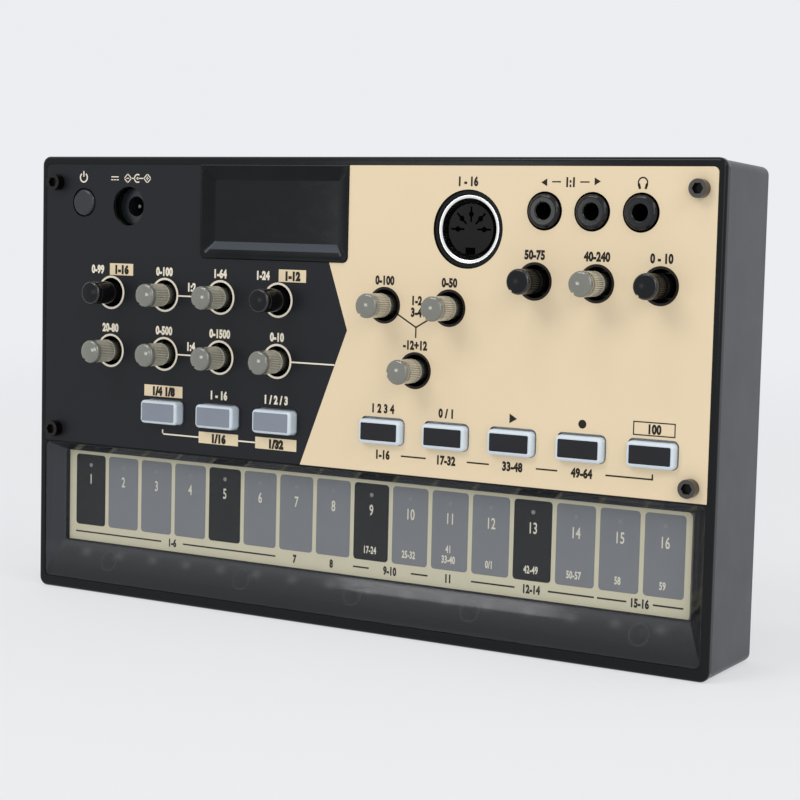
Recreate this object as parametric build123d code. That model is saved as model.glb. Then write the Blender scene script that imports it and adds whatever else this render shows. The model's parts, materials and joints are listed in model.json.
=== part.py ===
from build123d import *
import math
import os

# A compact battery-powered drum machine, standing on its long lower edge.
# Sizes are in millimetres. Widths run along X and heights along Z, from the centre of the front
# outline. Depths run from the front panel's face into the case, along +Y. Names that end in
# _SHARE are parts of the panel's width, so that the controls spread with it.

# ---------------------------------------------------------------- case and panel
CASE_W = 193.0          # front frame, left to right
CASE_H = 115.0          # front frame, standing edge to top edge
CORNER_R = 2.3          # front outline corners
FRONT_EDGE_R = 0.9      # rounding of the frame's front edge
RIM_D = 2.0             # frame's outer edge, front face to seam
BAND = 1.8              # frame left showing beside the panel
BAND_TOP = 2.05         # frame left showing above the panel
PANEL_H = 73.35         # panel, top edge to bottom edge
PANEL_T = 1.0           # panel sheet
PANEL_CORNER_R = 1.3    # upper corners; the lower ones are square
PANEL_GAP = 0.1         # panel edge to frame
LEDGE = 3.3             # frame ledge under the panel's side edges
LEDGE_TOP = 2.45        # frame ledge under the panel's top edge
CROSS_BAR = 4.9         # frame bar under the panel's bottom edge
CROSS_BAR_T = 2.0       # depth of that bar behind the panel
LIP_D = 2.4             # locating lip of the frame inside the rear case
LIP_T = 1.2
LIP_GAP = 0.1

SIDE_STEP = 0.3         # rear case stands this far inside the frame at the seam
DRAFT_X = 0.6           # further step in, seam to rear, on each side
DRAFT_TOP = 0.7         # the same at the top
WALL = 1.8              # rear case walls and rear wall
REAR_EDGE_R = 0.9       # rounding of the rear edge
SEAM_CORNER_R = 2.2     # rear case corners at the seam
REAR_CORNER_R = 2.0     # the same at the rear

# ---------------------------------------------------------------- depth of the stack
BOARD_SETBACK = 10.0    # panel face to the main board's front
BOARD_T = 1.2
BOARD_GAP = 0.2         # main board to the battery tub
TUB_T = 0.8             # battery tub floor
CELL_D = 14.5           # AA cell diameter
CELL_L = 49.2           # AA cell without its button
CELL_BUTTON_R = 2.75
CELL_BUTTON_L = 1.3
CELL_GAP = 0.2          # between cells, and from cells to tub floor and cover
COVER_T = 1.3
FOOT_H = 1.7            # rubber foot above the rear wall
KNOB_PROUD = 8.9        # knob tip in front of the panel

# ---------------------------------------------------------------- touch strip
TRAY_SIDE = 2.0         # frame beside the tray opening
TRAY_BOTTOM = 2.9       # frame below the tray opening
TRAY_TOP_GAP = 0.3      # panel's bottom edge to the tray opening
TRAY_CORNER_R = 1.2
TRAY_FIT = 0.1          # tray to frame opening
TRAY_RIM_D = 0.2        # tray rim behind the frame's face
TRAY_RIM_T = 0.2        # rim left at the top of the slopes
TRAY_FLOOR_D = 3.6      # front of the tray's clear floor
TRAY_FLOOR_T = 1.2
SLOPE_SIDE = 4.1        # width of the side slopes
SLOPE_TOP = 2.1
SLOPE_BOTTOM = 9.4
FLANGE_W = 0.9          # tray flange held behind the frame
FLANGE_D = 1.2          # front of that flange
SHEET_T = 0.2           # printed sheet under the tray
SHEET_MARGIN = 0.2      # sheet edge inside the tray floor
STEPS = 16
STRIP_MARGIN = 1.5      # sheet edge to the first key's cell
LED_DROP = 3.95         # sheet's top edge to the step lamps
LED_R = 0.75
LED_BASE = (2.0, 1.25)
LED_BASE_T = 0.5
TRAY_BOSS_SHARE = (-0.391, -0.158, 0.016, 0.19, 0.417)  # small tray bosses, from the middle
TRAY_BOSS_RISE = 5.6    # those bosses above the opening's lower edge

# ---------------------------------------------------------------- controls on the panel
KNOB_R = 2.95           # smooth cap
KNOB_CAP_L = 3.3
KNOB_EDGE_R = 0.7
KNOB_RING_L = 0.4       # neck ring behind the cap
KNOB_RING_CUT = 0.3
SLEEVE_R = 2.8          # ribbed sleeve
SLEEVE_RIBS = 36
SLEEVE_RIB_CUT = 0.15
SLEEVE_RIB_L = 3.6
NOTCH_W = 0.7
NOTCH_CUT = 0.7
KNOB_MIN_ANGLE = -140.0     # pointer at minimum, clockwise from straight up
TUNE_TURN = 40.0            # how far the tune knob stands from its minimum
SHAFT_R = 1.5
SHAFT_FIT = 0.05        # running clearance on the radius
SHAFT_END = 0.7         # shaft end to the main board
POT_SIDE = 9.6
POT_H = 4.0
ENCODER_SIDE = 11.0
BUSH_R = 3.1
BUSH_H = 1.0
PART_GAP = 0.3          # parts that move past each other
KNOB_HOLE_R = 3.8

KNOB_SHARE = 0.1172     # panel's left edge to the first knob column
KNOB_PITCH_SHARE = 0.0929
KNOB_ROW = 33.15        # panel's top edge to the first knob row
KNOB_ROW_PITCH = 15.15
TONE_SHARE = 0.4414     # panel's right edge to the first tone knob
TONE_PITCH_SHARE = 0.0937
MASTER_COL = 12.7       # panel's right edge to the last master knob
MASTER_PITCH_SHARE = 0.0818
MASTER_ROW = 26.15      # panel's top edge to the master knobs

KEY_W = 11.6
KEY_H = 5.9
KEY_R = 1.1
KEY_PROUD_LEFT = 2.8    # key faces in front of the panel
KEY_PROUD_RIGHT = 2.0
KEY_EDGE_R = 0.8
KEY_GAP = 0.3           # key to its panel hole
KEY_SAG = 0.2           # right keys sit this low in their holes
KEY_TRAVEL = 0.8
KEY_FLANGE_W = 0.9
KEY_FLANGE_T = 1.0
KEY_BODY_D = 6.0        # end of the key's full section
KEY_FOOT = (8.4, 4.4)
MAT_T = 1.0             # rubber mat on the main board
MAT_WALL = 0.8          # collar around each key
MAT_GAP = 0.3           # key to collar
MAT_MARGIN = 1.0
KEY_SHARE = 0.212       # panel's left edge to the first left key
KEY_COL = 13.05         # panel's right edge to the last right key
KEY_PITCH_SHARE = 0.0927
KEYS_LEFT = 3
KEYS_RIGHT = 5
KEY_ROW = 10.1          # panel's bottom edge to the key holes

POWER_COL = 12.8        # from the panel's left edge
POWER_ROW = 9.9         # from the panel's top edge
POWER_HOLE_R = 3.8
POWER_R = 3.45
POWER_PROUD = 0.5
POWER_TRAVEL = 1.0
POWER_BODY_L = 3.0
SWITCH_SIDE = 7.0
SWITCH_H = 4.2

DC_COL = 27.6           # from the panel's left edge
DC_ROW = 10.7           # from the panel's top edge
DC_HOLE_R = 5.0
DC_R = 4.9
DC_RECESS = 3.2
DC_NECK = 2.8
DC_BODY = (9.6, 11.0)
DC_DEPTH = 10.6         # body length
DC_BORE_R = 2.6
DC_BORE_L = 9.0
DC_PIN_R = 0.85
DC_PIN_EDGE_R = 0.7     # domed tip
DC_PIN_SETBACK = 1.0

DIN_SHARE = 0.3242      # from the panel's right edge
DIN_ROW = 14.65         # from the panel's top edge
DIN_HOLE_R = 9.15
DIN_COLLAR_R = 8.95
DIN_COLLAR_D = 0.4
DIN_COLLAR_L = 2.6
DIN_SIDE = 20.0
DIN_BACK = 13.6
DIN_SHIELD_R = 8.1
DIN_SHIELD_T = 0.55
DIN_SHIELD_D = 0.6
DIN_CORE_R = 5.95
DIN_CORE_D = 1.5
DIN_BORE_BACK = 12.0
DIN_PIN_CIRCLE = 3.5
DIN_PIN_R = 0.65
DIN_PIN_SLOT = (3.56, 0.45)     # radial slot through each contact hole
DIN_PIN_L = 8.0
DIN_PINS = 5
DIN_KEY = (2.6, 1.7)
SOCKET_GAP = 0.05       # shield to housing

JACK_COL = 17.9         # panel's right edge to the headphone jack
JACK_PITCH_SHARE = 0.0628
JACK_ROW = 10.15        # from the panel's top edge
JACK_HOLE_R = 4.4
JACK_BUSH_R = 4.0
JACK_PROUD = 0.9
JACK_BUSH_L = 3.9
JACK_EDGE_R = 0.95
JACK_BORE_R = 1.85
JACK_BORE_L = 14.0
JACK_SINK = 0.25        # countersink at the bore's mouth
JACK_BODY = (9.0, 11.0)
JACK_TAIL_R = 3.0
JACK_TAIL_L = 5.0
BOARD_HOLE_GAP = 0.2    # board cut-outs around what passes through

# ---------------------------------------------------------------- display
DISPLAY_SHARE = 0.269   # panel's left edge to the bezel
DISPLAY_W_SHARE = 0.2331
DISPLAY_H = 23.35       # panel's top edge to the bezel's lower edge
DISPLAY_CORNER_R = 1.5  # bezel's lower corners; the upper ones are square
DISPLAY_PROUD = 0.4
BEZEL_SIDE = 3.65       # bezel's side to the window seen through it
BEZEL_BOTTOM = 4.3
BEZEL_TOP = 3.85
BEZEL_FLARE = 3.1       # width of the slopes down to the window
BEZEL_BACK = 2.0        # bezel flange behind the panel
BEZEL_FLANGE_W = 1.25
WINDOW_D = 1.2
WINDOW_CORNER_R = 0.4
WINDOW_LAP = 0.7        # window held behind the bezel
WINDOW_T = 1.0
WINDOW_FIT = 0.1
MODULE_T = 2.3
HOLDER_T = 2.0

# ---------------------------------------------------------------- fasteners
PANEL_SCREW_SIDE = 3.9  # from the panel's side edges
PANEL_SCREW_TOP = 4.75
PANEL_SCREW_BOTTOM = 3.3
PANEL_SCREW_L = 6.0
SCREW_R = 1.25          # panel and case screws
SCREW_HEAD_R = 2.1
SCREW_HEAD_H = 2.4
HEX_SOCKET = 2.3        # across flats
HEX_SOCKET_D = 1.4
SCREW_FIT = 0.05
BOSS_R = 2.7
BOSS_PAD = 0.8          # ledge around a boss that stands off it
BOSS_FLOOR = 1.0        # boss left beyond the screw's end
CASE_SCREW_SIDE = 6.2   # panel's side edges to the case screws
CASE_SCREW_TOP = 14.45  # panel's top edge to the upper case screws
CASE_SCREW_RISE = 6.1   # tray opening's lower edge to the lower case screws
CASE_JOINT_D = 13.0     # where front and rear bosses meet
CASE_SEAT_T = 2.0       # rear boss under the screw head
CASE_SCREW_BITE = 5.5   # screw thread in the front boss
CASE_WELL_R = 2.4
CASE_BOSS_R = 3.6
SMALL_SCREW_R = 1.0     # board screws
SMALL_HEAD_R = 1.9
SMALL_HEAD_H = 1.2
SMALL_SCREW_L = 5.0
STANDOFF_R = 2.2
STANDOFF_SIDE = 4.5     # panel's side edges to the side standoffs
STANDOFF_DROP = 37.45   # panel's top edge to the side standoffs
STANDOFF_TOP = 4.45     # panel's top edge to the top standoffs
STANDOFF_TOP_SHARE = (-0.2746, 0.0739)
STANDOFF_BOTTOM = 2.3   # panel's bottom edge to the bar standoffs
STANDOFF_BOTTOM_SHARE = (-0.3168, 0.3168)
BOARD_SIDE = 2.3        # panel's side edges to the main board
BOARD_TOP = 2.2
BOARD_BOTTOM = 0.3
TOUCH_SIDE = 1.6        # tray opening to the touch board
TOUCH_TOP = 1.8
TOUCH_BOTTOM = 2.1

# ---------------------------------------------------------------- rear
CELLS = 6
TUB_WALL = 1.2
TUB_SIDE_GAP = 1.3      # outer cells to the tub's side walls
TUB_END_GAP = 2.05      # cell ends to the tub's end walls
TUB_DROP = 2.3          # tub below the DIN socket
COVER_GAP = 0.2         # cover to its opening
TONGUE_W = 3.2
TONGUE_T = 1.2
TONGUE_REACH = 1.6      # tongue beyond the cover's edge
TONGUE_NECK = 1.5
TONGUE_SLOT_D = 1.4     # slot in the tub's wall past the tongue
LATCH_W = 16.0
LATCH_L = 8.0
LATCH_SLIT = 1.0
GRIP_R = 9.0
GRIP_RISE = 5.5
GRIP_D = 1.0
CONTACT_SIDE = 9.0
CONTACT_T = 0.4
CONTACT_GAP = 0.1
SPRING_R = 4.0
SPRING_TIP_R = 2.4
STUD_R = 2.0
FOOT_R = 5.0
FOOT_EDGE_R = 0.5
FOOT_RECESS = 0.6
FOOT_SIDE = 18.5        # from the case's sides
FOOT_RISE = 8.0         # from the case's top and bottom
SPEAKER_GAP = 3.85      # speaker's ring to the tub and to the case's left wall
SPEAKER_RISE = 37.5     # from the case's bottom
SPEAKER_RIM_T = 1.6
SPEAKER_DISH = 4.6      # depth of the basket
SPEAKER_SKIN = 0.6
SPEAKER_SURROUND = 2.5
MAGNET_SHARE = 0.445    # magnet's radius, as a part of the speaker's
MAGNET_L = 4.0
SPEAKER_RING_T = 1.5
SPEAKER_RING_L = 4.0
GRILLE_HOLE_R = 0.9
GRILLE_RINGS = 3
GRILLE_MARGIN = 3.5     # outer ring of holes inside the cone's edge
LINK_W = 16.0           # flat cable between the boards
LINK_T = 0.3
LINK_SHARE = 0.3907     # from the middle
LINK_LAP = 3.0

# ---------------------------------------------------------------- worked-out places
TUB_FLOOR_D = BOARD_SETBACK + BOARD_T + BOARD_GAP
CELL_AXIS_D = TUB_FLOOR_D + TUB_T + CELL_GAP + CELL_D / 2
COVER_D = CELL_AXIS_D + CELL_D / 2 + CELL_GAP
CASE_D = COVER_D + COVER_T
REAR_INSIDE_D = CASE_D - WALL
FULL_DEPTH = KNOB_PROUD + CASE_D + FOOT_H
FACE_Y = KNOB_PROUD - FULL_DEPTH / 2
MID_Z = CASE_H / 2

TOP = CASE_H / 2
BOTTOM = -CASE_H / 2
PANEL_RIGHT = CASE_W / 2 - BAND
PANEL_LEFT = -PANEL_RIGHT
PANEL_W = PANEL_RIGHT - PANEL_LEFT
PANEL_TOP = TOP - BAND_TOP
PANEL_BOTTOM = PANEL_TOP - PANEL_H
TRAY_RIGHT = CASE_W / 2 - TRAY_SIDE
TRAY_HIGH = PANEL_BOTTOM - TRAY_TOP_GAP
TRAY_LOW = BOTTOM + TRAY_BOTTOM
REAR_X = CASE_W / 2 - SIDE_STEP
REAR_TOP = TOP - SIDE_STEP

KNOB_ROW_1 = PANEL_TOP - KNOB_ROW
KNOB_ROW_2 = KNOB_ROW_1 - KNOB_ROW_PITCH
KNOB_X = [PANEL_LEFT + (KNOB_SHARE + column * KNOB_PITCH_SHARE) * PANEL_W for column in range(4)]
TONE_X = [PANEL_RIGHT - (TONE_SHARE - place * TONE_PITCH_SHARE) * PANEL_W for place in (0, 0.5, 1)]
MASTER_X = [PANEL_RIGHT - MASTER_COL - place * MASTER_PITCH_SHARE * PANEL_W for place in (2, 1, 0)]
MASTER_Z = PANEL_TOP - MASTER_ROW

POTS = {
    "amount": (KNOB_X[1], KNOB_ROW_1),
    "rate": (KNOB_X[2], KNOB_ROW_1),
    "pitch": (KNOB_X[0], KNOB_ROW_2),
    "attack": (KNOB_X[1], KNOB_ROW_2),
    "release": (KNOB_X[2], KNOB_ROW_2),
    "send": (KNOB_X[3], KNOB_ROW_2),
    "decay": (TONE_X[0], KNOB_ROW_1),
    "body": (TONE_X[2], KNOB_ROW_1),
    "tune": (TONE_X[1], KNOB_ROW_2),
    "swing": (MASTER_X[0], MASTER_Z),
    "tempo": (MASTER_X[1], MASTER_Z),
    "volume": (MASTER_X[2], MASTER_Z),
}
ENCODERS = {
    "level": (KNOB_X[0], KNOB_ROW_1),
    "select": (KNOB_X[3], KNOB_ROW_1),
}

KEY_Z = PANEL_BOTTOM + KEY_ROW
KEY_PITCH = KEY_PITCH_SHARE * PANEL_W
KEYS_LEFT_X = [PANEL_LEFT + KEY_SHARE * PANEL_W + place * KEY_PITCH for place in range(KEYS_LEFT)]
KEYS_RIGHT_X = [
    PANEL_RIGHT - KEY_COL - (KEYS_RIGHT - 1 - place) * KEY_PITCH
    for place in range(KEYS_RIGHT)
]
POWER_AT = (PANEL_LEFT + POWER_COL, PANEL_TOP - POWER_ROW)
DC_AT = (PANEL_LEFT + DC_COL, PANEL_TOP - DC_ROW)
DIN_AT = (PANEL_RIGHT - DIN_SHARE * PANEL_W, PANEL_TOP - DIN_ROW)
JACK_PITCH = JACK_PITCH_SHARE * PANEL_W
JACKS = {
    "sync_in": (PANEL_RIGHT - JACK_COL - 2 * JACK_PITCH, PANEL_TOP - JACK_ROW),
    "sync_out": (PANEL_RIGHT - JACK_COL - JACK_PITCH, PANEL_TOP - JACK_ROW),
    "headphones": (PANEL_RIGHT - JACK_COL, PANEL_TOP - JACK_ROW),
}
PANEL_SCREWS = [
    (side * (PANEL_RIGHT - PANEL_SCREW_SIDE), height)
    for side in (-1, 1)
    for height in (PANEL_TOP - PANEL_SCREW_TOP, PANEL_BOTTOM + PANEL_SCREW_BOTTOM)
]
CASE_SCREW_X = PANEL_RIGHT - CASE_SCREW_SIDE
UPPER_CASE_SCREWS = [(side * CASE_SCREW_X, PANEL_TOP - CASE_SCREW_TOP) for side in (-1, 1)]
LOWER_CASE_SCREWS = [(side * CASE_SCREW_X, TRAY_LOW + CASE_SCREW_RISE) for side in (-1, 1)]
SIDE_STANDOFFS = [(side * (PANEL_RIGHT - STANDOFF_SIDE), PANEL_TOP - STANDOFF_DROP) for side in (-1, 1)]
TOP_STANDOFFS = [(share * PANEL_W, PANEL_TOP - STANDOFF_TOP) for share in STANDOFF_TOP_SHARE]
BOTTOM_STANDOFFS = [
    (share * PANEL_W, PANEL_BOTTOM + STANDOFF_BOTTOM) for share in STANDOFF_BOTTOM_SHARE
]
STANDOFFS = SIDE_STANDOFFS + TOP_STANDOFFS + BOTTOM_STANDOFFS
TRAY_BOSSES = [(share * PANEL_W, TRAY_LOW + TRAY_BOSS_RISE) for share in TRAY_BOSS_SHARE]
SHEET_D = TRAY_FLOOR_D + TRAY_FLOOR_T
TOUCH_D = SHEET_D + SHEET_T
TOUCH_BACK_D = TOUCH_D + BOARD_T
SCREW_FIT_R = SCREW_R + SCREW_FIT
SMALL_FIT_R = SMALL_SCREW_R + SCREW_FIT
FEET = [
    (side * (CASE_W / 2 - FOOT_SIDE), height)
    for side in (-1, 1)
    for height in (BOTTOM + FOOT_RISE, TOP - FOOT_RISE)
]
CELL_PITCH = CELL_D + CELL_GAP
CELL_X = [(place - (CELLS - 1) / 2) * CELL_PITCH for place in range(CELLS)]
CELL_HALF = (CELL_L + CELL_BUTTON_L) / 2
TUB_X = CELL_X[-1] + CELL_D / 2 + TUB_SIDE_GAP
TUB_Z = CELL_HALF + TUB_END_GAP
TUB_HIGH = DIN_AT[1] - DIN_SIDE / 2 - TUB_DROP - TUB_WALL
TUB_MID = TUB_HIGH - TUB_Z
TUB_LOW = TUB_MID - TUB_Z
HINGE_R = COVER_T / 2
HINGE_Z = TUB_HIGH - COVER_GAP - HINGE_R
HINGE_D = COVER_D + HINGE_R
TONGUE_X = (-2 * CELL_PITCH, 2 * CELL_PITCH)
TONGUE_BACK = REAR_INSIDE_D - PART_GAP
SPEAKER_ROOM = REAR_X - DRAFT_X - WALL - TUB_X - TUB_WALL
SPEAKER_R = SPEAKER_ROOM / 2 - SPEAKER_GAP - SPEAKER_RING_T - PART_GAP
SPEAKER_AT = (-TUB_X - TUB_WALL - SPEAKER_ROOM / 2, BOTTOM + SPEAKER_RISE)
MAGNET_R = MAGNET_SHARE * SPEAKER_R
GRILLE_PITCH = (SPEAKER_R - SPEAKER_SURROUND - GRILLE_MARGIN) / GRILLE_RINGS


# ---------------------------------------------------------------- shape helpers
def front_plane(depth):
    """Front-view plane at a depth: sketches on it show X to the right and Z up."""
    return Plane(origin=(0, FACE_Y + depth, MID_Z), x_dir=(1, 0, 0), z_dir=(0, -1, 0))


def slab(sketch, front, back):
    """Solid of a front-view sketch between two depths."""
    return extrude(front_plane(back) * sketch, amount=back - front)


def rod(place, radius, front, back):
    """Round bar along the depth at a place (x, z)."""
    return slab(Pos(*place) * Circle(radius), front, back)


def rods(places, radius, front, back):
    return [rod(place, radius, front, back) for place in places]


def window(left, right, low, high, radius=0.0):
    """Front-view rectangle between four edges."""
    width = right - left
    height = high - low
    shape = RectangleRounded(width, height, radius) if radius else Rectangle(width, height)
    return Pos((left + right) / 2, (low + high) / 2) * shape


def centred(place, size, radius=0.0):
    """Front-view rectangle about a place (x, z)."""
    half_w = size[0] / 2
    half_h = size[1] / 2
    return window(place[0] - half_w, place[0] + half_w, place[1] - half_h, place[1] + half_h, radius)


def tapered(near_sketch, near, far_sketch, far):
    """Solid that runs from one front-view outline to another."""
    return loft([front_plane(near) * near_sketch, front_plane(far) * far_sketch])


def turned(place, profile):
    """Solid of revolution about the depth axis at a place, from (radius, depth) corners."""
    origin = (place[0], FACE_Y, MID_Z + place[1])
    plane = Plane(origin=origin, x_dir=(1, 0, 0), z_dir=(0, 0, 1))
    face = make_face(plane * Polyline(*profile, close=True))
    return revolve(face, axis=Axis(origin, (0, 1, 0)))


def front_edges(shape):
    """Edges in the shape's foremost face."""
    return shape.edges().group_by(Axis.Y)[0]


def back_edges(shape):
    """Edges in the shape's rearmost face."""
    return shape.edges().group_by(Axis.Y)[-1]


# ---------------------------------------------------------------- front frame and panel
DISPLAY_LEFT = PANEL_LEFT + DISPLAY_SHARE * PANEL_W
DISPLAY_RIGHT = DISPLAY_LEFT + DISPLAY_W_SHARE * PANEL_W


def tray_opening(grow=0.0, drop=0.0):
    """Outline of the tray opening, grown at the sides and bottom and lowered at the top."""
    return window(-TRAY_RIGHT - grow, TRAY_RIGHT + grow, TRAY_LOW - grow, TRAY_HIGH - drop, TRAY_CORNER_R)


def panel_outline(gap=0.0):
    left = PANEL_LEFT - gap
    right = PANEL_RIGHT + gap
    low = PANEL_BOTTOM - gap
    outline = window(left, right, low, PANEL_TOP + gap, PANEL_CORNER_R)
    return outline + window(left, right, low, low + 2 * PANEL_CORNER_R)


def bezel_outline(gap=0.0):
    left = DISPLAY_LEFT - gap
    right = DISPLAY_RIGHT + gap
    outline = window(left, right, PANEL_TOP - DISPLAY_H - gap, PANEL_TOP, DISPLAY_CORNER_R)
    return outline + window(left, right, PANEL_TOP - 2 * DISPLAY_CORNER_R, PANEL_TOP)


def front_frame():
    outline = RectangleRounded(CASE_W, CASE_H, CORNER_R)
    frame = fillet(front_edges(slab(outline, 0, RIM_D)), FRONT_EDGE_R)
    ledge_window = window(
        PANEL_LEFT + LEDGE, PANEL_RIGHT - LEDGE, PANEL_BOTTOM + CROSS_BAR, PANEL_TOP - LEDGE_TOP
    )
    pads = [Pos(*place) * Circle(BOSS_R + BOSS_PAD) for place in UPPER_CASE_SCREWS + TOP_STANDOFFS]
    frame -= slab(panel_outline(PANEL_GAP), 0, PANEL_T)
    frame -= slab(ledge_window - pads, PANEL_T, RIM_D)
    frame -= slab(tray_opening(), 0, RIM_D)
    frame -= slab(tray_opening(FLANGE_W + TRAY_FIT, 2 * TRAY_CORNER_R), FLANGE_D, RIM_D)
    inside_x = REAR_X - WALL - LIP_GAP
    inside_top = REAR_TOP - WALL - LIP_GAP
    lip_low = PANEL_BOTTOM + CROSS_BAR
    lip = window(-inside_x, inside_x, lip_low, inside_top, SEAM_CORNER_R)
    lip -= window(-inside_x + LIP_T, inside_x - LIP_T, lip_low - LIP_T, inside_top - LIP_T)
    frame += slab(lip, RIM_D, RIM_D + LIP_D)
    bar = window(PANEL_LEFT + LEDGE, PANEL_RIGHT - LEDGE, TRAY_HIGH, lip_low - LIP_T)
    frame += slab(bar, PANEL_T, PANEL_T + CROSS_BAR_T)
    screw_end = PANEL_SCREW_L + BOSS_FLOOR
    frame += rods(PANEL_SCREWS, BOSS_R, PANEL_T, screw_end)
    frame -= rods(PANEL_SCREWS, SCREW_FIT_R, PANEL_T, PANEL_SCREW_L)
    frame += rods(UPPER_CASE_SCREWS, BOSS_R, PANEL_T, CASE_JOINT_D)
    frame -= rods(UPPER_CASE_SCREWS, SCREW_FIT_R, CASE_JOINT_D - CASE_SCREW_BITE, CASE_JOINT_D)
    frame += rods(STANDOFFS, STANDOFF_R, PANEL_T, BOARD_SETBACK)
    frame -= rods(STANDOFFS, SMALL_FIT_R, BOARD_SETBACK - SMALL_SCREW_L, BOARD_SETBACK)
    return frame


def control_holes():
    """Front-view holes for every control, screw and socket on the panel."""
    knobs = list(ENCODERS.values()) + list(POTS.values())
    holes = [Pos(*place) * Circle(KNOB_HOLE_R) for place in knobs]
    for x in KEYS_LEFT_X + KEYS_RIGHT_X:
        holes.append(centred((x, KEY_Z), (KEY_W + 2 * KEY_GAP, KEY_H + 2 * KEY_GAP), KEY_R + KEY_GAP))
    holes.append(Pos(*POWER_AT) * Circle(POWER_HOLE_R))
    holes.append(Pos(*DC_AT) * Circle(DC_HOLE_R))
    holes.append(Pos(*DIN_AT) * Circle(DIN_HOLE_R))
    holes += [Pos(*place) * Circle(JACK_HOLE_R) for place in JACKS.values()]
    holes += [Pos(*place) * Circle(SCREW_FIT_R) for place in PANEL_SCREWS]
    return holes


def front_panel():
    notch = bezel_outline(PANEL_GAP)
    notch += window(
        DISPLAY_LEFT - PANEL_GAP,
        DISPLAY_RIGHT + PANEL_GAP,
        PANEL_TOP - DISPLAY_H / 2,
        PANEL_TOP + BAND_TOP,
    )
    return slab(panel_outline() - notch - control_holes(), 0, PANEL_T)


# ---------------------------------------------------------------- touch strip
def tray_floor(grow=0.0):
    """Outline of the tray's flat clear floor."""
    return window(
        SLOPE_SIDE - TRAY_RIGHT + TRAY_RIM_T - grow,
        TRAY_RIGHT - TRAY_RIM_T - SLOPE_SIDE + grow,
        TRAY_LOW + TRAY_RIM_T + SLOPE_BOTTOM - grow,
        TRAY_HIGH - TRAY_RIM_T - SLOPE_TOP + grow,
        TRAY_CORNER_R,
    )


def step_tray():
    body = slab(tray_opening(-TRAY_FIT, TRAY_FIT), TRAY_RIM_D, RIM_D)
    body += slab(tray_opening(FLANGE_W, 2 * TRAY_CORNER_R + TRAY_FIT), FLANGE_D + TRAY_FIT, RIM_D)
    under = tray_opening(-TRAY_FIT - LIP_T / 2, TRAY_FIT)
    body += tapered(under, RIM_D, tray_floor(TRAY_FLOOR_T), SHEET_D)
    body += rods(LOWER_CASE_SCREWS, BOSS_R, RIM_D, CASE_JOINT_D)
    body += rods(TRAY_BOSSES, STANDOFF_R, RIM_D, TOUCH_D)
    body -= tapered(tray_opening(-TRAY_RIM_T, TRAY_RIM_T), TRAY_RIM_D, tray_floor(), TRAY_FLOOR_D)
    body -= rods(LOWER_CASE_SCREWS, SCREW_FIT_R, CASE_JOINT_D - CASE_SCREW_BITE, CASE_JOINT_D)
    body -= rods(TRAY_BOSSES, SMALL_FIT_R, TRAY_FLOOR_D + PART_GAP, TOUCH_D)
    return body


SHEET_X = TRAY_RIGHT - TRAY_RIM_T - SLOPE_SIDE - SHEET_MARGIN
SHEET_LOW = TRAY_LOW + TRAY_RIM_T + SLOPE_BOTTOM + SHEET_MARGIN
SHEET_HIGH = TRAY_HIGH - TRAY_RIM_T - SLOPE_TOP - SHEET_MARGIN
STEP_PITCH = (2 * SHEET_X - 2 * STRIP_MARGIN) / STEPS
LED_PLACES = [((step - (STEPS - 1) / 2) * STEP_PITCH, SHEET_HIGH - LED_DROP) for step in range(STEPS)]


def step_print_sheet():
    return slab(window(-SHEET_X, SHEET_X, SHEET_LOW, SHEET_HIGH), SHEET_D, TOUCH_D)


def touch_board():
    outline = window(
        -TRAY_RIGHT + TOUCH_SIDE, TRAY_RIGHT - TOUCH_SIDE, TRAY_LOW + TOUCH_BOTTOM, TRAY_HIGH - TOUCH_TOP
    )
    outline -= [Pos(*place) * Circle(BOSS_R + PART_GAP) for place in LOWER_CASE_SCREWS]
    outline -= [Pos(*place) * Circle(SMALL_FIT_R) for place in TRAY_BOSSES]
    outline -= [Pos(*place) * Circle(LED_R + SCREW_FIT) for place in LED_PLACES]
    return slab(outline, TOUCH_D, TOUCH_BACK_D)


def step_lamp(place):
    lens = rod(place, LED_R, TOUCH_D + CONTACT_GAP, TOUCH_BACK_D)
    return lens + slab(centred(place, LED_BASE), TOUCH_BACK_D, TOUCH_BACK_D + LED_BASE_T)


# ---------------------------------------------------------------- knobs and their carriers
def knob(place, ribbed, pointer_angle=None):
    """Cap, neck ring, sleeve and shaft of one knob, with a pointer notch in the cap if wanted."""
    ring = KNOB_CAP_L - KNOB_PROUD
    sleeve = ring + KNOB_RING_L
    seat = BOARD_SETBACK - POT_H - BUSH_H - PART_GAP
    shape = turned(place, [
        (0, -KNOB_PROUD),
        (KNOB_R, -KNOB_PROUD),
        (KNOB_R, ring),
        (KNOB_R - KNOB_RING_CUT, ring),
        (KNOB_R - KNOB_RING_CUT, sleeve),
        (SLEEVE_R, sleeve),
        (SLEEVE_R, seat),
        (SHAFT_R, seat),
        (SHAFT_R, BOARD_SETBACK - SHAFT_END),
        (0, BOARD_SETBACK - SHAFT_END),
    ])
    shape = fillet(front_edges(shape), KNOB_EDGE_R)
    cuts = []
    if ribbed:
        groove = Pos(0, SLEEVE_R) * Rot(0, 0, 45) * Rectangle(SLEEVE_RIB_CUT, SLEEVE_RIB_CUT)
        grooves = [Pos(*place) * Rot(0, 0, rib * 360 / SLEEVE_RIBS) * groove for rib in range(SLEEVE_RIBS)]
        cuts += [slab(cut, sleeve, sleeve + SLEEVE_RIB_L) for cut in grooves]
    if pointer_angle is not None:
        notch = Pos(0, KNOB_R) * Rectangle(NOTCH_W, 2 * NOTCH_CUT)
        cuts.append(slab(Pos(*place) * Rot(0, 0, -pointer_angle) * notch, -KNOB_PROUD, ring))
    return shape - cuts if cuts else shape


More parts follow.
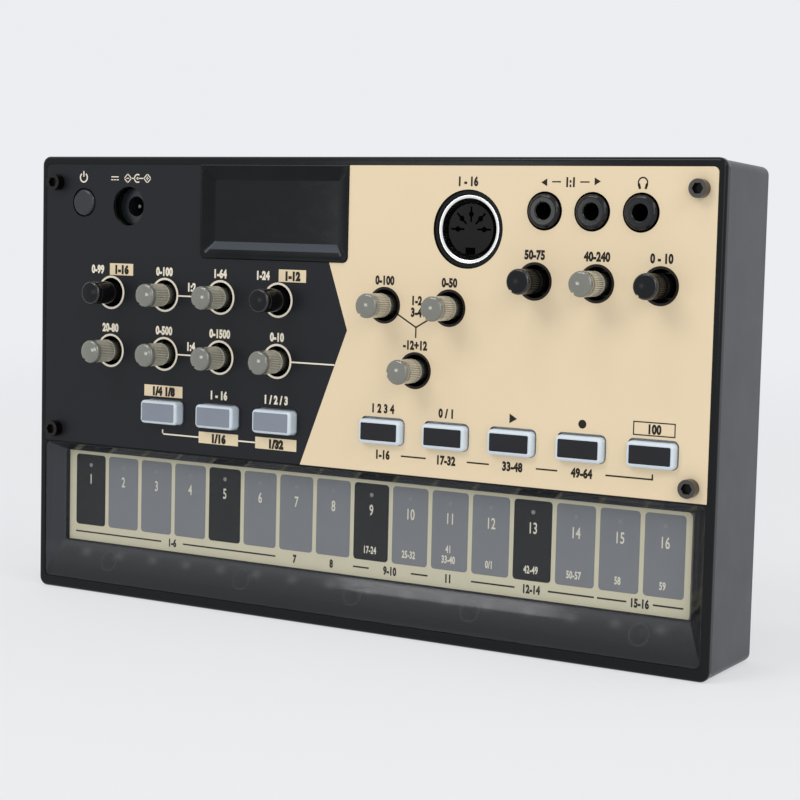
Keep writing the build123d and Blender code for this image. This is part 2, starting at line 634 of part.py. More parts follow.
def control_body(place, side):
    """Potentiometer or encoder body with its bushing, bored for the shaft."""
    front = BOARD_SETBACK - POT_H
    body = slab(centred(place, (side, side)), front, BOARD_SETBACK)
    body += rod(place, BUSH_R, front - BUSH_H, front)
    return body - rod(place, SHAFT_R + SHAFT_FIT, front - BUSH_H, BOARD_SETBACK - SHAFT_END / 2)


# ---------------------------------------------------------------- keys
def key(place, proud):
    """Push key: face, retaining flange and foot."""
    face = slab(centred(place, (KEY_W, KEY_H), KEY_R), -proud, KEY_BODY_D)
    face = fillet(front_edges(face), KEY_EDGE_R)
    flange_d = PANEL_T + PART_GAP
    flange = centred(place, (KEY_W + 2 * KEY_FLANGE_W, KEY_H + 2 * KEY_FLANGE_W), KEY_R)
    foot_end = BOARD_SETBACK - KEY_TRAVEL - PART_GAP
    return (
        face
        + slab(flange, flange_d, flange_d + KEY_FLANGE_T)
        + slab(centred(place, KEY_FOOT), KEY_BODY_D, foot_end)
    )


def key_mat(columns, height):
    """Rubber mat on the main board with a collar around each key."""
    inner = (KEY_W + 2 * MAT_GAP, KEY_H + 2 * MAT_GAP)
    outer = (inner[0] + 2 * MAT_WALL, inner[1] + 2 * MAT_WALL)
    foot = (KEY_FOOT[0] + 2 * MAT_GAP, KEY_FOOT[1] + 2 * MAT_GAP)
    half_h = outer[1] / 2
    edge = outer[0] / 2 + MAT_MARGIN
    sheet = window(columns[0] - edge, columns[-1] + edge, height - half_h, height + half_h)
    mat = slab(sheet, BOARD_SETBACK - MAT_T, BOARD_SETBACK)
    collar_front = PANEL_T + 2 * PART_GAP + KEY_FLANGE_T + KEY_TRAVEL
    for x in columns:
        collar = centred((x, height), outer, KEY_R + MAT_GAP + MAT_WALL)
        collar -= centred((x, height), inner, KEY_R + MAT_GAP)
        mat += slab(collar, collar_front, BOARD_SETBACK - MAT_T)
        mat -= slab(centred((x, height), foot), BOARD_SETBACK - MAT_T, BOARD_SETBACK)
    return mat


def power_button():
    cap = fillet(front_edges(rod(POWER_AT, POWER_R, -POWER_PROUD, POWER_BODY_L)), KEY_EDGE_R)
    flange_d = PANEL_T + PART_GAP
    cap += rod(POWER_AT, POWER_HOLE_R + KEY_FLANGE_W / 2, flange_d, flange_d + KEY_FLANGE_T)
    return cap + rod(POWER_AT, SHAFT_R, POWER_BODY_L, BOARD_SETBACK - POWER_TRAVEL - PART_GAP)


def power_switch():
    front = BOARD_SETBACK - SWITCH_H
    body = slab(centred(POWER_AT, (SWITCH_SIDE, SWITCH_SIDE)), front, BOARD_SETBACK)
    return body - rod(POWER_AT, SHAFT_R + SHAFT_FIT, front, BOARD_SETBACK)


# ---------------------------------------------------------------- sockets
def dc_jack():
    neck_back = DC_RECESS + DC_NECK
    body = rod(DC_AT, DC_R, DC_RECESS, neck_back)
    body += slab(centred(DC_AT, DC_BODY), neck_back, DC_RECESS + DC_DEPTH)
    return body - rod(DC_AT, DC_BORE_R, DC_RECESS, DC_RECESS + DC_BORE_L)


def dc_pin():
    pin = rod(DC_AT, DC_PIN_R, DC_RECESS + DC_PIN_SETBACK, DC_RECESS + DC_BORE_L)
    return fillet(front_edges(pin), DC_PIN_EDGE_R)


def din_housing():
    body = rod(DIN_AT, DIN_COLLAR_R, DIN_COLLAR_D, DIN_COLLAR_D + DIN_COLLAR_L)
    body += slab(centred(DIN_AT, (DIN_SIDE, DIN_SIDE)), DIN_COLLAR_D + DIN_COLLAR_L, DIN_BACK)
    return body - rod(DIN_AT, DIN_SHIELD_R + SOCKET_GAP, DIN_COLLAR_D, DIN_BORE_BACK)


def din_shield():
    ring = Circle(DIN_SHIELD_R) - Circle(DIN_SHIELD_R - DIN_SHIELD_T)
    return slab(Pos(*DIN_AT) * ring, DIN_SHIELD_D, DIN_BORE_BACK)


def din_insert():
    """Insulator with five slotted contact holes over its upper half and a key slot below."""
    core = rod(DIN_AT, DIN_CORE_R, DIN_CORE_D, DIN_BORE_BACK)
    contact = Pos(DIN_PIN_CIRCLE, 0) * (Circle(DIN_PIN_R) + Rectangle(*DIN_PIN_SLOT))
    for pin in range(DIN_PINS):
        hole = Pos(*DIN_AT) * Rot(0, 0, pin * 180 / (DIN_PINS - 1)) * contact
        core -= slab(hole, DIN_CORE_D, DIN_CORE_D + DIN_PIN_L)
    key_slot = centred((DIN_AT[0], DIN_AT[1] - DIN_CORE_R), (DIN_KEY[0], 2 * DIN_KEY[1]))
    return core - slab(key_slot, DIN_CORE_D, DIN_CORE_D + DIN_PIN_L)


def mini_jack(place):
    body_d = JACK_BUSH_L - JACK_PROUD
    body = fillet(front_edges(rod(place, JACK_BUSH_R, -JACK_PROUD, body_d)), JACK_EDGE_R)
    body += slab(centred(place, JACK_BODY), body_d, BOARD_SETBACK)
    body += rod(place, JACK_TAIL_R, BOARD_SETBACK, BOARD_SETBACK + JACK_TAIL_L)
    body -= rod(place, JACK_BORE_R, -JACK_PROUD, JACK_BORE_L - JACK_PROUD)
    mouth = Pos(*place) * Circle(JACK_BORE_R + JACK_SINK)
    return body - tapered(mouth, -JACK_PROUD, Pos(*place) * Circle(JACK_BORE_R), JACK_SINK - JACK_PROUD)


# ---------------------------------------------------------------- display
GLASS_LEFT = DISPLAY_LEFT + BEZEL_SIDE
GLASS_RIGHT = DISPLAY_RIGHT - BEZEL_SIDE
GLASS_LOW = PANEL_TOP - DISPLAY_H + BEZEL_BOTTOM
GLASS_HIGH = PANEL_TOP - BEZEL_TOP
MODULE_D = PANEL_T + BEZEL_BACK + PART_GAP


def glass_outline(grow, radius=0.0):
    """Outline of the window seen through the bezel, grown on all sides."""
    return window(GLASS_LEFT - grow, GLASS_RIGHT + grow, GLASS_LOW - grow, GLASS_HIGH + grow, radius)


def display_bezel():
    left = DISPLAY_LEFT - BEZEL_FLANGE_W
    right = DISPLAY_RIGHT + BEZEL_FLANGE_W
    low = PANEL_TOP - DISPLAY_H - BEZEL_FLANGE_W
    high = PANEL_TOP - LEDGE_TOP - PART_GAP
    bezel = slab(bezel_outline(), -DISPLAY_PROUD, PANEL_T)
    bezel = fillet(front_edges(bezel), DISPLAY_PROUD / 2)
    bezel += slab(window(left, right, low, high), PANEL_T, PANEL_T + BEZEL_BACK)
    flare = glass_outline(BEZEL_FLARE, DISPLAY_CORNER_R)
    bezel -= tapered(flare, -DISPLAY_PROUD, glass_outline(0, WINDOW_CORNER_R), WINDOW_D)
    return bezel - slab(glass_outline(WINDOW_LAP), WINDOW_D, PANEL_T + BEZEL_BACK)


def display_window():
    return slab(glass_outline(WINDOW_LAP - WINDOW_FIT), WINDOW_D, WINDOW_D + WINDOW_T)


def display_module():
    return slab(glass_outline(WINDOW_LAP), MODULE_D, MODULE_D + MODULE_T)


def display_holder():
    ring = glass_outline(WINDOW_LAP) - glass_outline(WINDOW_LAP - HOLDER_T)
    return slab(ring, MODULE_D + MODULE_T, BOARD_SETBACK)


# ---------------------------------------------------------------- boards
def main_board():
    outline = window(
        PANEL_LEFT + BOARD_SIDE, PANEL_RIGHT - BOARD_SIDE, PANEL_BOTTOM + BOARD_BOTTOM, PANEL_TOP - BOARD_TOP
    )
    grow = 2 * BOARD_HOLE_GAP
    outline -= [Pos(*place) * Circle(BOSS_R + BOARD_HOLE_GAP) for place in UPPER_CASE_SCREWS]
    outline -= [Pos(*place) * Circle(SMALL_FIT_R) for place in STANDOFFS]
    outline -= [Pos(*place) * Circle(JACK_TAIL_R + BOARD_HOLE_GAP) for place in JACKS.values()]
    outline -= centred(DC_AT, (DC_BODY[0] + grow, DC_BODY[1] + grow))
    outline -= centred(DIN_AT, (DIN_SIDE + grow, DIN_SIDE + grow))
    return slab(outline, BOARD_SETBACK, BOARD_SETBACK + BOARD_T)


def board_link():
    """Flat cable from the main board's back, over its lower edge, to the touch board's back."""
    board_back = BOARD_SETBACK + BOARD_T
    left = LINK_SHARE * PANEL_W - LINK_W / 2
    right = left + LINK_W
    bend_z = TRAY_HIGH - PART_GAP
    main_lap = window(left, right, bend_z - LINK_T, PANEL_BOTTOM + LINK_LAP)
    drop = window(left, right, bend_z - LINK_T, bend_z)
    touch_lap = window(left, right, TRAY_HIGH - TOUCH_TOP - LINK_LAP, bend_z)
    return (
        slab(main_lap, board_back, board_back + LINK_T)
        + slab(drop, TOUCH_BACK_D, board_back + LINK_T)
        + slab(touch_lap, TOUCH_BACK_D, TOUCH_BACK_D + LINK_T)
    )


# ---------------------------------------------------------------- fasteners
def socket_screw(place, under_head, towards, length, head_r, head_h, thread_r):
    """Cap screw whose head stands out of under_head; towards is -1 for a head in front."""
    head_end = under_head + towards * head_h
    tip = under_head - towards * length
    screw = rod(place, head_r, min(under_head, head_end), max(under_head, head_end))
    screw += rod(place, thread_r, min(under_head, tip), max(under_head, tip))
    drive = Pos(*place) * RegularPolygon(HEX_SOCKET / 2, 6, major_radius=False)
    drive_end = head_end - towards * min(HEX_SOCKET_D, head_h / 2)
    return screw - slab(drive, min(head_end, drive_end), max(head_end, drive_end))


def panel_screws():
    return [
        socket_screw(place, 0, -1, PANEL_SCREW_L, SCREW_HEAD_R, SCREW_HEAD_H, SCREW_R)
        for place in PANEL_SCREWS
    ]


def case_screws():
    seat = CASE_JOINT_D + CASE_SEAT_T
    length = CASE_SEAT_T + CASE_SCREW_BITE - PART_GAP
    return [
        socket_screw(place, seat, 1, length, SCREW_HEAD_R, SCREW_HEAD_H, SCREW_R)
        for place in UPPER_CASE_SCREWS + LOWER_CASE_SCREWS
    ]


def board_screws():
    board_back = BOARD_SETBACK + BOARD_T
    main = [
        socket_screw(place, board_back, 1, SMALL_SCREW_L, SMALL_HEAD_R, SMALL_HEAD_H, SMALL_SCREW_R)
        for place in STANDOFFS
    ]
    bite = TOUCH_BACK_D - TRAY_FLOOR_D - 2 * PART_GAP
    touch = [
        socket_screw(place, TOUCH_BACK_D, 1, bite, SMALL_HEAD_R, SMALL_HEAD_H, SMALL_SCREW_R)
        for place in TRAY_BOSSES
    ]
    return main + touch


# ---------------------------------------------------------------- rear case
def rear_outline(inset, at_rear):
    """Rear case outline at the seam or at the rear; the standing edge stays flush."""
    side = REAR_X - (DRAFT_X if at_rear else 0) - inset
    high = REAR_TOP - (DRAFT_TOP if at_rear else 0) - inset
    radius = (REAR_CORNER_R if at_rear else SEAM_CORNER_R) - min(inset, SEAM_CORNER_R / 2)
    return window(-side, side, BOTTOM + inset, high, radius)


def battery_tub():
    """Tub walls and floor behind the main board, before the inside is cut."""
    outer = window(-TUB_X - TUB_WALL, TUB_X + TUB_WALL, TUB_LOW - TUB_WALL, TUB_HIGH + TUB_WALL)
    return slab(outer, TUB_FLOOR_D, REAR_INSIDE_D)


def grille_holes():
    holes = [Pos(*SPEAKER_AT) * Circle(GRILLE_HOLE_R)]
    for ring in range(1, GRILLE_RINGS + 1):
        count = 6 * ring
        for place in range(count):
            angle = math.radians(place * 360 / count)
            x = SPEAKER_AT[0] + ring * GRILLE_PITCH * math.cos(angle)
            z = SPEAKER_AT[1] + ring * GRILLE_PITCH * math.sin(angle)
            holes.append(Pos(x, z) * Circle(GRILLE_HOLE_R))
    return holes


def rear_case():
    shell = tapered(rear_outline(0, False), RIM_D, rear_outline(0, True), CASE_D)
    shell = fillet(back_edges(shell), REAR_EDGE_R)
    shell -= tapered(rear_outline(WALL, False), RIM_D, rear_outline(WALL, True), REAR_INSIDE_D)
    shell += battery_tub()
    shell -= slab(window(-TUB_X, TUB_X, TUB_LOW, TUB_HIGH), TUB_FLOOR_D + TUB_T, CASE_D)
    for x in TONGUE_X:
        half = TONGUE_W / 2 + PART_GAP
        slot = window(x - half, x + half, TUB_HIGH, TUB_HIGH + TUB_WALL)
        shell -= slab(slot, TONGUE_BACK - TONGUE_T - TONGUE_SLOT_D, REAR_INSIDE_D)
    case_screw_places = UPPER_CASE_SCREWS + LOWER_CASE_SCREWS
    shell += rods(case_screw_places, CASE_BOSS_R, CASE_JOINT_D, REAR_INSIDE_D)
    shell -= rods(case_screw_places, SCREW_FIT_R, CASE_JOINT_D, CASE_JOINT_D + CASE_SEAT_T)
    shell -= rods(case_screw_places, CASE_WELL_R, CASE_JOINT_D + CASE_SEAT_T, CASE_D)
    ring_r = SPEAKER_R + PART_GAP
    ring = Pos(*SPEAKER_AT) * (Circle(ring_r + SPEAKER_RING_T) - Circle(ring_r))
    shell += slab(ring, REAR_INSIDE_D - SPEAKER_RING_L, REAR_INSIDE_D)
    shell -= slab(Sketch() + grille_holes(), REAR_INSIDE_D, CASE_D)
    shell -= rods(FEET, FOOT_R + SOCKET_GAP, CASE_D - FOOT_RECESS, CASE_D)
    scoop = Pos(0, TUB_LOW + GRIP_RISE - GRIP_R) * Circle(GRIP_R)
    scoop &= window(-TUB_X, TUB_X, TUB_LOW - GRIP_R, TUB_LOW)
    return shell - slab(scoop, CASE_D - GRIP_D, CASE_D)


def rubber_foot(place):
    foot = rod(place, FOOT_R, CASE_D - FOOT_RECESS, CASE_D + FOOT_H)
    return fillet(back_edges(foot), FOOT_EDGE_R)


# ---------------------------------------------------------------- battery bay
def battery_cover():
    """Cover that tilts about its upper edge, where two tongues hook behind the rear wall."""
    side = TUB_X - COVER_GAP
    low = TUB_LOW + COVER_GAP
    cover = slab(window(-side, side, low, HINGE_Z), COVER_D, CASE_D)
    roll = Pos(0, FACE_Y + HINGE_D, MID_Z + HINGE_Z) * Rot(0, 90, 0) * Cylinder(HINGE_R, 2 * side)
    cover += roll
    for x in TONGUE_X:
        left = x - TONGUE_W / 2
        right = x + TONGUE_W / 2
        tongue_front = TONGUE_BACK - TONGUE_T
        neck = window(left, right, HINGE_Z - TONGUE_NECK / 2, HINGE_Z + HINGE_R / 2)
        blade = window(left, right, HINGE_Z - TONGUE_NECK / 2, HINGE_Z + HINGE_R + TONGUE_REACH)
        cover += slab(neck, tongue_front, HINGE_D)
        cover += slab(blade, tongue_front, TONGUE_BACK)
    for edge in (-LATCH_W / 2, LATCH_W / 2 - LATCH_SLIT):
        cover -= slab(window(edge, edge + LATCH_SLIT, low, low + LATCH_L), COVER_D, CASE_D)
    return cover


def aa_cell(place):
    """One cell along Z; neighbours point opposite ways."""
    way = 1 if place % 2 else -1
    low = -CELL_HALF if way > 0 else -CELL_HALF + CELL_BUTTON_L
    centre = (CELL_X[place], FACE_Y + CELL_AXIS_D)
    middle = MID_Z + TUB_MID
    body = Pos(*centre, middle + low + CELL_L / 2) * Cylinder(CELL_D / 2, CELL_L)
    button_z = middle + way * (CELL_HALF - CELL_BUTTON_L / 2)
    return body + Pos(*centre, button_z) * Cylinder(CELL_BUTTON_R, CELL_BUTTON_L)


def battery_contact(place, end):
    """Plate on the tub's end wall with a spring cone or a stud; end is 1 for the upper wall."""
    centre_x = CELL_X[place]
    centre_y = FACE_Y + CELL_AXIS_D
    wall_z = MID_Z + TUB_MID + end * TUB_Z
    plate = Pos(centre_x, centre_y, wall_z - end * CONTACT_T / 2) * Box(CONTACT_SIDE, CONTACT_SIDE, CONTACT_T)
    reach = TUB_END_GAP - CONTACT_T - CONTACT_GAP
    middle_z = wall_z - end * (CONTACT_T + reach / 2)
    is_stud = (place % 2 == 1) == (end > 0)
    if is_stud:
        return plate + Pos(centre_x, centre_y, middle_z) * Cylinder(STUD_R, reach)
    cone = Cone(SPRING_R, SPRING_TIP_R, reach)
    return plate + Pos(centre_x, centre_y, middle_z) * (Rot(180, 0, 0) * cone if end > 0 else cone)


# ---------------------------------------------------------------- speaker
SPEAKER_BACK_D = REAR_INSIDE_D
SPEAKER_FRONT_D = SPEAKER_BACK_D - SPEAKER_RIM_T - SPEAKER_DISH


def speaker_basket():
    """Rim on the rear wall and a dish down to the magnet."""
    rim_d = SPEAKER_BACK_D - SPEAKER_RIM_T
    inner_r = SPEAKER_R - SPEAKER_SURROUND
    return turned(SPEAKER_AT, [
        (SPEAKER_R, SPEAKER_BACK_D),
        (inner_r, SPEAKER_BACK_D),
        (inner_r, rim_d),
        (MAGNET_R, SPEAKER_FRONT_D + SPEAKER_SKIN),
        (0, SPEAKER_FRONT_D + SPEAKER_SKIN),
        (0, SPEAKER_FRONT_D),
        (MAGNET_R, SPEAKER_FRONT_D),
        (SPEAKER_R, rim_d - SPEAKER_SKIN),
    ])


def speaker_cone():
    """Paper cone with its dust cap, seated inside the rim."""
    rim_d = SPEAKER_BACK_D - SPEAKER_RIM_T
    outer_r = SPEAKER_R - SPEAKER_SURROUND - SOCKET_GAP
    cap_r = MAGNET_R / 2
    dish = SPEAKER_DISH / 2
    return turned(SPEAKER_AT, [
        (outer_r, rim_d + SPEAKER_SKIN + SOCKET_GAP),
        (outer_r, rim_d + SOCKET_GAP),
        (cap_r, rim_d - dish),
        (0, rim_d - dish),
        (0, rim_d - dish + 2 * SPEAKER_SKIN),
        (cap_r, rim_d - dish + SPEAKER_SKIN),
    ])


def speaker_magnet():
    return rod(SPEAKER_AT, MAGNET_R, SPEAKER_FRONT_D - MAGNET_L, SPEAKER_FRONT_D)


# ---------------------------------------------------------------- all pieces
def all_pieces():
    """Every node's name with its solids."""
    pieces = {
        "front_frame": [front_frame()],
        "front_panel": [front_panel()],
        "rear_case": [rear_case()],
        "step_tray": [step_tray()],
        "step_print_sheet": [step_print_sheet()],
        "touch_board": [touch_board()],
        "step_lamps": [step_lamp(place) for place in LED_PLACES],
        "main_board": [main_board()],
        "board_link": [board_link()],
        "display_bezel": [display_bezel()],
        "display_window": [display_window()],
        "display_module": [display_module()],
        "display_holder": [display_holder()],
        "pot_bodies": [control_body(place, POT_SIDE) for place in POTS.values()],
        "encoder_bodies": [control_body(place, ENCODER_SIDE) for place in ENCODERS.values()],
        "key_mats": [key_mat(KEYS_LEFT_X, KEY_Z), key_mat(KEYS_RIGHT_X, KEY_Z - KEY_SAG)],
        "power_button": [power_button()],
        "power_switch": [power_switch()],
        "dc_jack": [dc_jack()],
        "dc_pin": [dc_pin()],
        "din_housing": [din_housing()],
        "din_shield": [din_shield()],
        "din_insert": [din_insert()],
        "panel_screws": panel_screws(),
        "case_screws": case_screws(),
        "board_screws": board_screws(),
        "rubber_feet": [rubber_foot(place) for place in FEET],
        "battery_cover": [battery_cover()],
        "aa_cells": [aa_cell(place) for place in range(CELLS)],
        "battery_contacts": [battery_contact(place, end) for place in range(CELLS) for end in (-1, 1)],
        "speaker_basket": [speaker_basket()],
        "speaker_cone": [speaker_cone()],
        "speaker_magnet": [speaker_magnet()],
    }
    for name, place in ENCODERS.items():
        pieces[f"knob_{name}"] = [knob(place, ribbed=False)]
    for name, place in POTS.items():
        turn = TUNE_TURN if name == "tune" else 0.0
        pieces[f"knob_{name}"] = [knob(place, ribbed=True, pointer_angle=KNOB_MIN_ANGLE + turn)]
    for number, x in enumerate(KEYS_LEFT_X, start=1):
        pieces[f"key_left_{number}"] = [key((x, KEY_Z), KEY_PROUD_LEFT)]
    for number, x in enumerate(KEYS_RIGHT_X, start=1):
        pieces[f"key_right_{number}"] = [key((x, KEY_Z - KEY_SAG), KEY_PROUD_RIGHT)]
    for name, place in JACKS.items():
        pieces[f"jack_{name}"] = [mini_jack(place)]
    return pieces


os.makedirs("parts", exist_ok=True)
for node, solids in all_pieces().items():
    export_step(solids[0] if len(solids) == 1 else Compound(children=solids), f"parts/{node}.step")
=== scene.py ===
import json
import math

import bmesh
import bpy
from mathutils import Matrix, Vector

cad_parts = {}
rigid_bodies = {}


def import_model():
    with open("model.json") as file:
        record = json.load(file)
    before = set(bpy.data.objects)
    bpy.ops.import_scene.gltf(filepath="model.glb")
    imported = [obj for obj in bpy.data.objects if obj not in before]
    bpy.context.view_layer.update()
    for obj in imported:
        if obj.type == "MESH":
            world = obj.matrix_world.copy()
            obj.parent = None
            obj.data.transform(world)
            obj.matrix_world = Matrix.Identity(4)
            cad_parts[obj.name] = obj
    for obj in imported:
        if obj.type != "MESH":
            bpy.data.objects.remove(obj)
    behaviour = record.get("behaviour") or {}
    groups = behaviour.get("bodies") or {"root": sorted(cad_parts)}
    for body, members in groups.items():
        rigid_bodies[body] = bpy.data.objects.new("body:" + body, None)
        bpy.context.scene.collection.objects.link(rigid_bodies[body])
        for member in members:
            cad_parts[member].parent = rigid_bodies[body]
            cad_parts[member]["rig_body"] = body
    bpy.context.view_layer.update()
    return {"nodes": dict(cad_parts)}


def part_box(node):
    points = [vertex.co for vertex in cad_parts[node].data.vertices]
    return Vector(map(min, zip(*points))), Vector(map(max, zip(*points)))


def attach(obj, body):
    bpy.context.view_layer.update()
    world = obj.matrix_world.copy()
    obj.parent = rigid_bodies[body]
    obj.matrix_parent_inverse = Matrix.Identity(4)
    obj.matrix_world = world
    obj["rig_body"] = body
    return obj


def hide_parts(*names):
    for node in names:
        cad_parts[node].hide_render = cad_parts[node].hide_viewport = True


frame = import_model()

bl_info = {
    "name": "Drum machine",
    "version": (1, 0, 0),
    "blender": (4, 5, 0),
    "location": "View3D > Sidebar > Drum machine",
    "description": "Panel, knobs, keys, sockets, touch strip and rear of a small drum machine",
    "category": "Object",
}

MM = 0.001
FACE_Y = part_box("front_panel")[0].y
MIDDLE_Z = (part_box("front_frame")[0].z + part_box("front_frame")[1].z) / 2
DIGIT_HEIGHT = 0.729    # height of the built-in font's digits at size 1
SAME_PLACE = 1e-7       # points nearer than this are one, in metres
CAD_MERGE = 1e-6        # the same for a CAD node's loose triangles

# Measures on the front, in millimetres right, up and into the case from the front's middle.
INK = 0.03              # thickness of a printed mark
FILM = 0.02             # thickness of one printed layer on the touch strip
STEPS = 16              # steps on the touch strip
STRIP_MARGIN = 1.5      # bare ground at both ends of the touch strip
SOCKET_ROW = 51.9       # heights of the rows of printed marks
DISPLAY_ROW = 35.4
UPPER_ROW = 28.3
LOWER_ROW = 13.2
KEY_ROW = -2.4
STEP_ROW = -13.5


def tone(red, green, blue):
    """Linear colour from screen values between 0 and 255."""
    return tuple(((value / 255 + 0.055) / 1.055) ** 2.4 if value > 10 else value / 3294.6
                 for value in (red, green, blue))


def spot(x, z, depth=0.0):
    """Point in the scene from millimetres on the front: right, up and into the case."""
    return Vector((x * MM, FACE_Y + depth * MM, MIDDLE_Z + z * MM))


def place_of(node):
    """Centre of a CAD node on the front, in millimetres."""
    low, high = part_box(node)
    return (low.x + high.x) / 2 / MM, ((low.z + high.z) / 2 - MIDDLE_Z) / MM


def edges_of(node):
    """Left, right, low and high edge of a CAD node on the front, in millimetres."""
    low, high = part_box(node)
    return low.x / MM, high.x / MM, (low.z - MIDDLE_Z) / MM, (high.z - MIDDLE_Z) / MM


def depths_of(node):
    """Front and back depth of a CAD node, in millimetres."""
    low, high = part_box(node)
    return (low.y - FACE_Y) / MM, (high.y - FACE_Y) / MM


def middle_of(face):
    """Middle of a face in millimetres: right, up and into the case."""
    centre = face.calc_center_median()
    return centre.x / MM, (centre.z - MIDDLE_Z) / MM, (centre.y - FACE_Y) / MM


def step_pitch():
    """Distance between two steps on the touch strip, in millimetres."""
    left, right = edges_of("step_print_sheet")[:2]
    return (right - left - 2 * STRIP_MARGIN) / STEPS


KNOBS = sorted(name for name in frame["nodes"] if name.startswith("knob_"))
KEYS = sorted(name for name in frame["nodes"] if name.startswith("key_") and name != "key_mats")
JACKS = sorted(name for name in frame["nodes"] if name.startswith("jack_"))
ENDLESS_KNOBS = ("knob_level", "knob_select")
BLACK_KNOBS = ENDLESS_KNOBS + ("knob_swing", "knob_volume")
POINTER_ANGLE = -140.0  # degrees clockwise from the top
TUNE_ANGLE = -100.0     # the same for the tune knob


# ---------------------------------------------------------------- values a user may change
def length_property(name, description, default, low, high):
    """A length between two limits, all in millimetres."""
    return bpy.props.FloatProperty(
        name=name, description=description, default=default * MM, min=low * MM, max=high * MM,
        unit="LENGTH")


def number_property(name, description, default, unit="NONE"):
    return bpy.props.FloatProperty(name=name, description=description, default=default, unit=unit)


def colour_property(name, description, default):
    return bpy.props.FloatVectorProperty(
        name=name, description=description, default=default, subtype="COLOR", min=0.0, max=1.0)


class DrumSizes(bpy.types.PropertyGroup):
    edge: length_property("Edge rounding", "Rounding of moulded edges", 0.15, 0.02, 0.3)
    label: length_property("Label height", "Height of the numbers on the panel", 2.05, 1, 3)
    step_label: length_property("Step number height", "Height of the steps' numbers", 2.7, 1, 4)
    line: length_property("Line width", "Width of the printed lines", 0.36, 0.1, 1)
    ribs: bpy.props.IntProperty(
        name="Knob ribs", description="Ribs around a knob's sleeve", default=40, min=8, max=80)
    cap_edge: length_property("Knob rounding", "Rounding around a knob's face", 0.7, 0.1, 1.5)
    cap_dome: length_property("Knob dome", "Height of the face above its rounding", 0.25, 0, 1)


class DrumColours(bpy.types.PropertyGroup):
    panel_dark: colour_property("Panel, dark", "Dark side of the panel", tone(26, 27, 31))
    panel_pale: colour_property("Panel, pale", "Pale side of the panel", tone(226, 207, 174))
    ink_pale: colour_property("Ink, pale", "Marks on the dark side", tone(233, 224, 205))
    ink_dark: colour_property("Ink, dark", "Marks on the pale side", tone(32, 27, 23))
    ink_box: colour_property("Ink, boxes", "Boxes around marks on the dark side", tone(224, 206, 172))
    frame_black: colour_property("Frame", "Front frame", tone(13, 14, 16))
    case_black: colour_property("Case", "Rear case and battery cover", tone(33, 36, 43))
    knob_clear: colour_property("Knob, clear", "Smoky clear knobs", tone(122, 122, 113))
    knob_black: colour_property("Knob, black", "Black knobs", tone(12, 12, 14))
    key_body: colour_property("Key body", "Pale rubber of the keys", tone(208, 219, 229))
    key_grey: colour_property("Key face, grey", "Printed face of the left keys", tone(130, 137, 148))
    key_black: colour_property("Key face, black", "Printed face of the right keys", tone(32, 32, 36))
    strip_cream: colour_property("Strip, cream", "Ground of the touch strip", tone(207, 202, 176))
    strip_grey: colour_property("Strip, grey", "Grey step fields", tone(122, 125, 129))
    strip_dark: colour_property("Strip, dark", "Every fourth step field", tone(13, 14, 16))
    smoke: colour_property("Smoke", "Tint of the clear tray", tone(20, 21, 24))


class DrumStage(bpy.types.PropertyGroup):
    camera_place: bpy.props.FloatVectorProperty(
        name="Camera place", description="Where the camera stands",
        default=spot(251.33, 39.75, -392.08), subtype="TRANSLATION")
    camera_turn: number_property("Camera turn", "Turn to the left", 0.5404, "ROTATION")
    camera_tilt: number_property("Camera tilt", "Tilt, up is positive", -0.0869, "ROTATION")
    camera_roll: number_property("Camera roll", "Roll about the line of sight", -0.0241, "ROTATION")
    lens: number_property("Lens", "Focal length on a 36 mm sensor, in millimetres", 86.69)
    key_power: number_property("Key lamp", "Large lamp at the upper left", 4.35, "POWER")
    side_power: number_property("Side lamp", "Lamp at the upper right", 3.0, "POWER")
    fill_power: number_property("Fill lamp", "Lamp beside the camera", 3.0, "POWER")
    spark_power: number_property("Spark lamp", "Small low lamp that sparkles in gloss", 0.32, "POWER")
    rim_power: number_property("Rim lamp", "Narrow lamp overhead", 0.95, "POWER")
    sky: number_property("Sky", "Level of the light from all around", 0.6)
    backdrop: colour_property("Backdrop", "Colour of the backdrop", tone(236, 238, 241))
    floor: colour_property("Floor", "Colour of the floor", tone(241, 242, 244))


def sizes():
    return bpy.context.scene.drum_sizes


def colours():
    return bpy.context.scene.drum_colours


# ---------------------------------------------------------------- shader sums
class Value:
    """One socket in a node tree, with sums written as plain expressions."""

    def __init__(self, nodes, socket):
        self.nodes = nodes
        self.socket = socket

    def sum(self, operation, *terms):
        return self.nodes.node("Math", {"operation": operation}, dict(enumerate(terms)))

    def __add__(self, other):
        return self.sum("ADD", self, other)

    def __sub__(self, other):
        return self.sum("SUBTRACT", self, other)

    def __mul__(self, other):
        return self.sum("MULTIPLY", self, other)

    def __truediv__(self, other):
        return self.sum("DIVIDE", self, other)

    def __pow__(self, other):
        return self.sum("POWER", self, other)

    def __lt__(self, other):
        return self.sum("LESS_THAN", self, other)

    def __gt__(self, other):
        return self.sum("GREATER_THAN", self, other)

    def __and__(self, other):
        return self.sum("MINIMUM", self, other)

    def __or__(self, other):
        return self.sum("MAXIMUM", self, other)

    def __rsub__(self, other):
        return self.sum("SUBTRACT", other, self)

    def __rtruediv__(self, other):
        return self.sum("DIVIDE", other, self)

    def __abs__(self):
        return self.sum("ABSOLUTE", self)

    __radd__ = __add__
    __rmul__ = __mul__
    __rand__ = __and__
    __ror__ = __or__


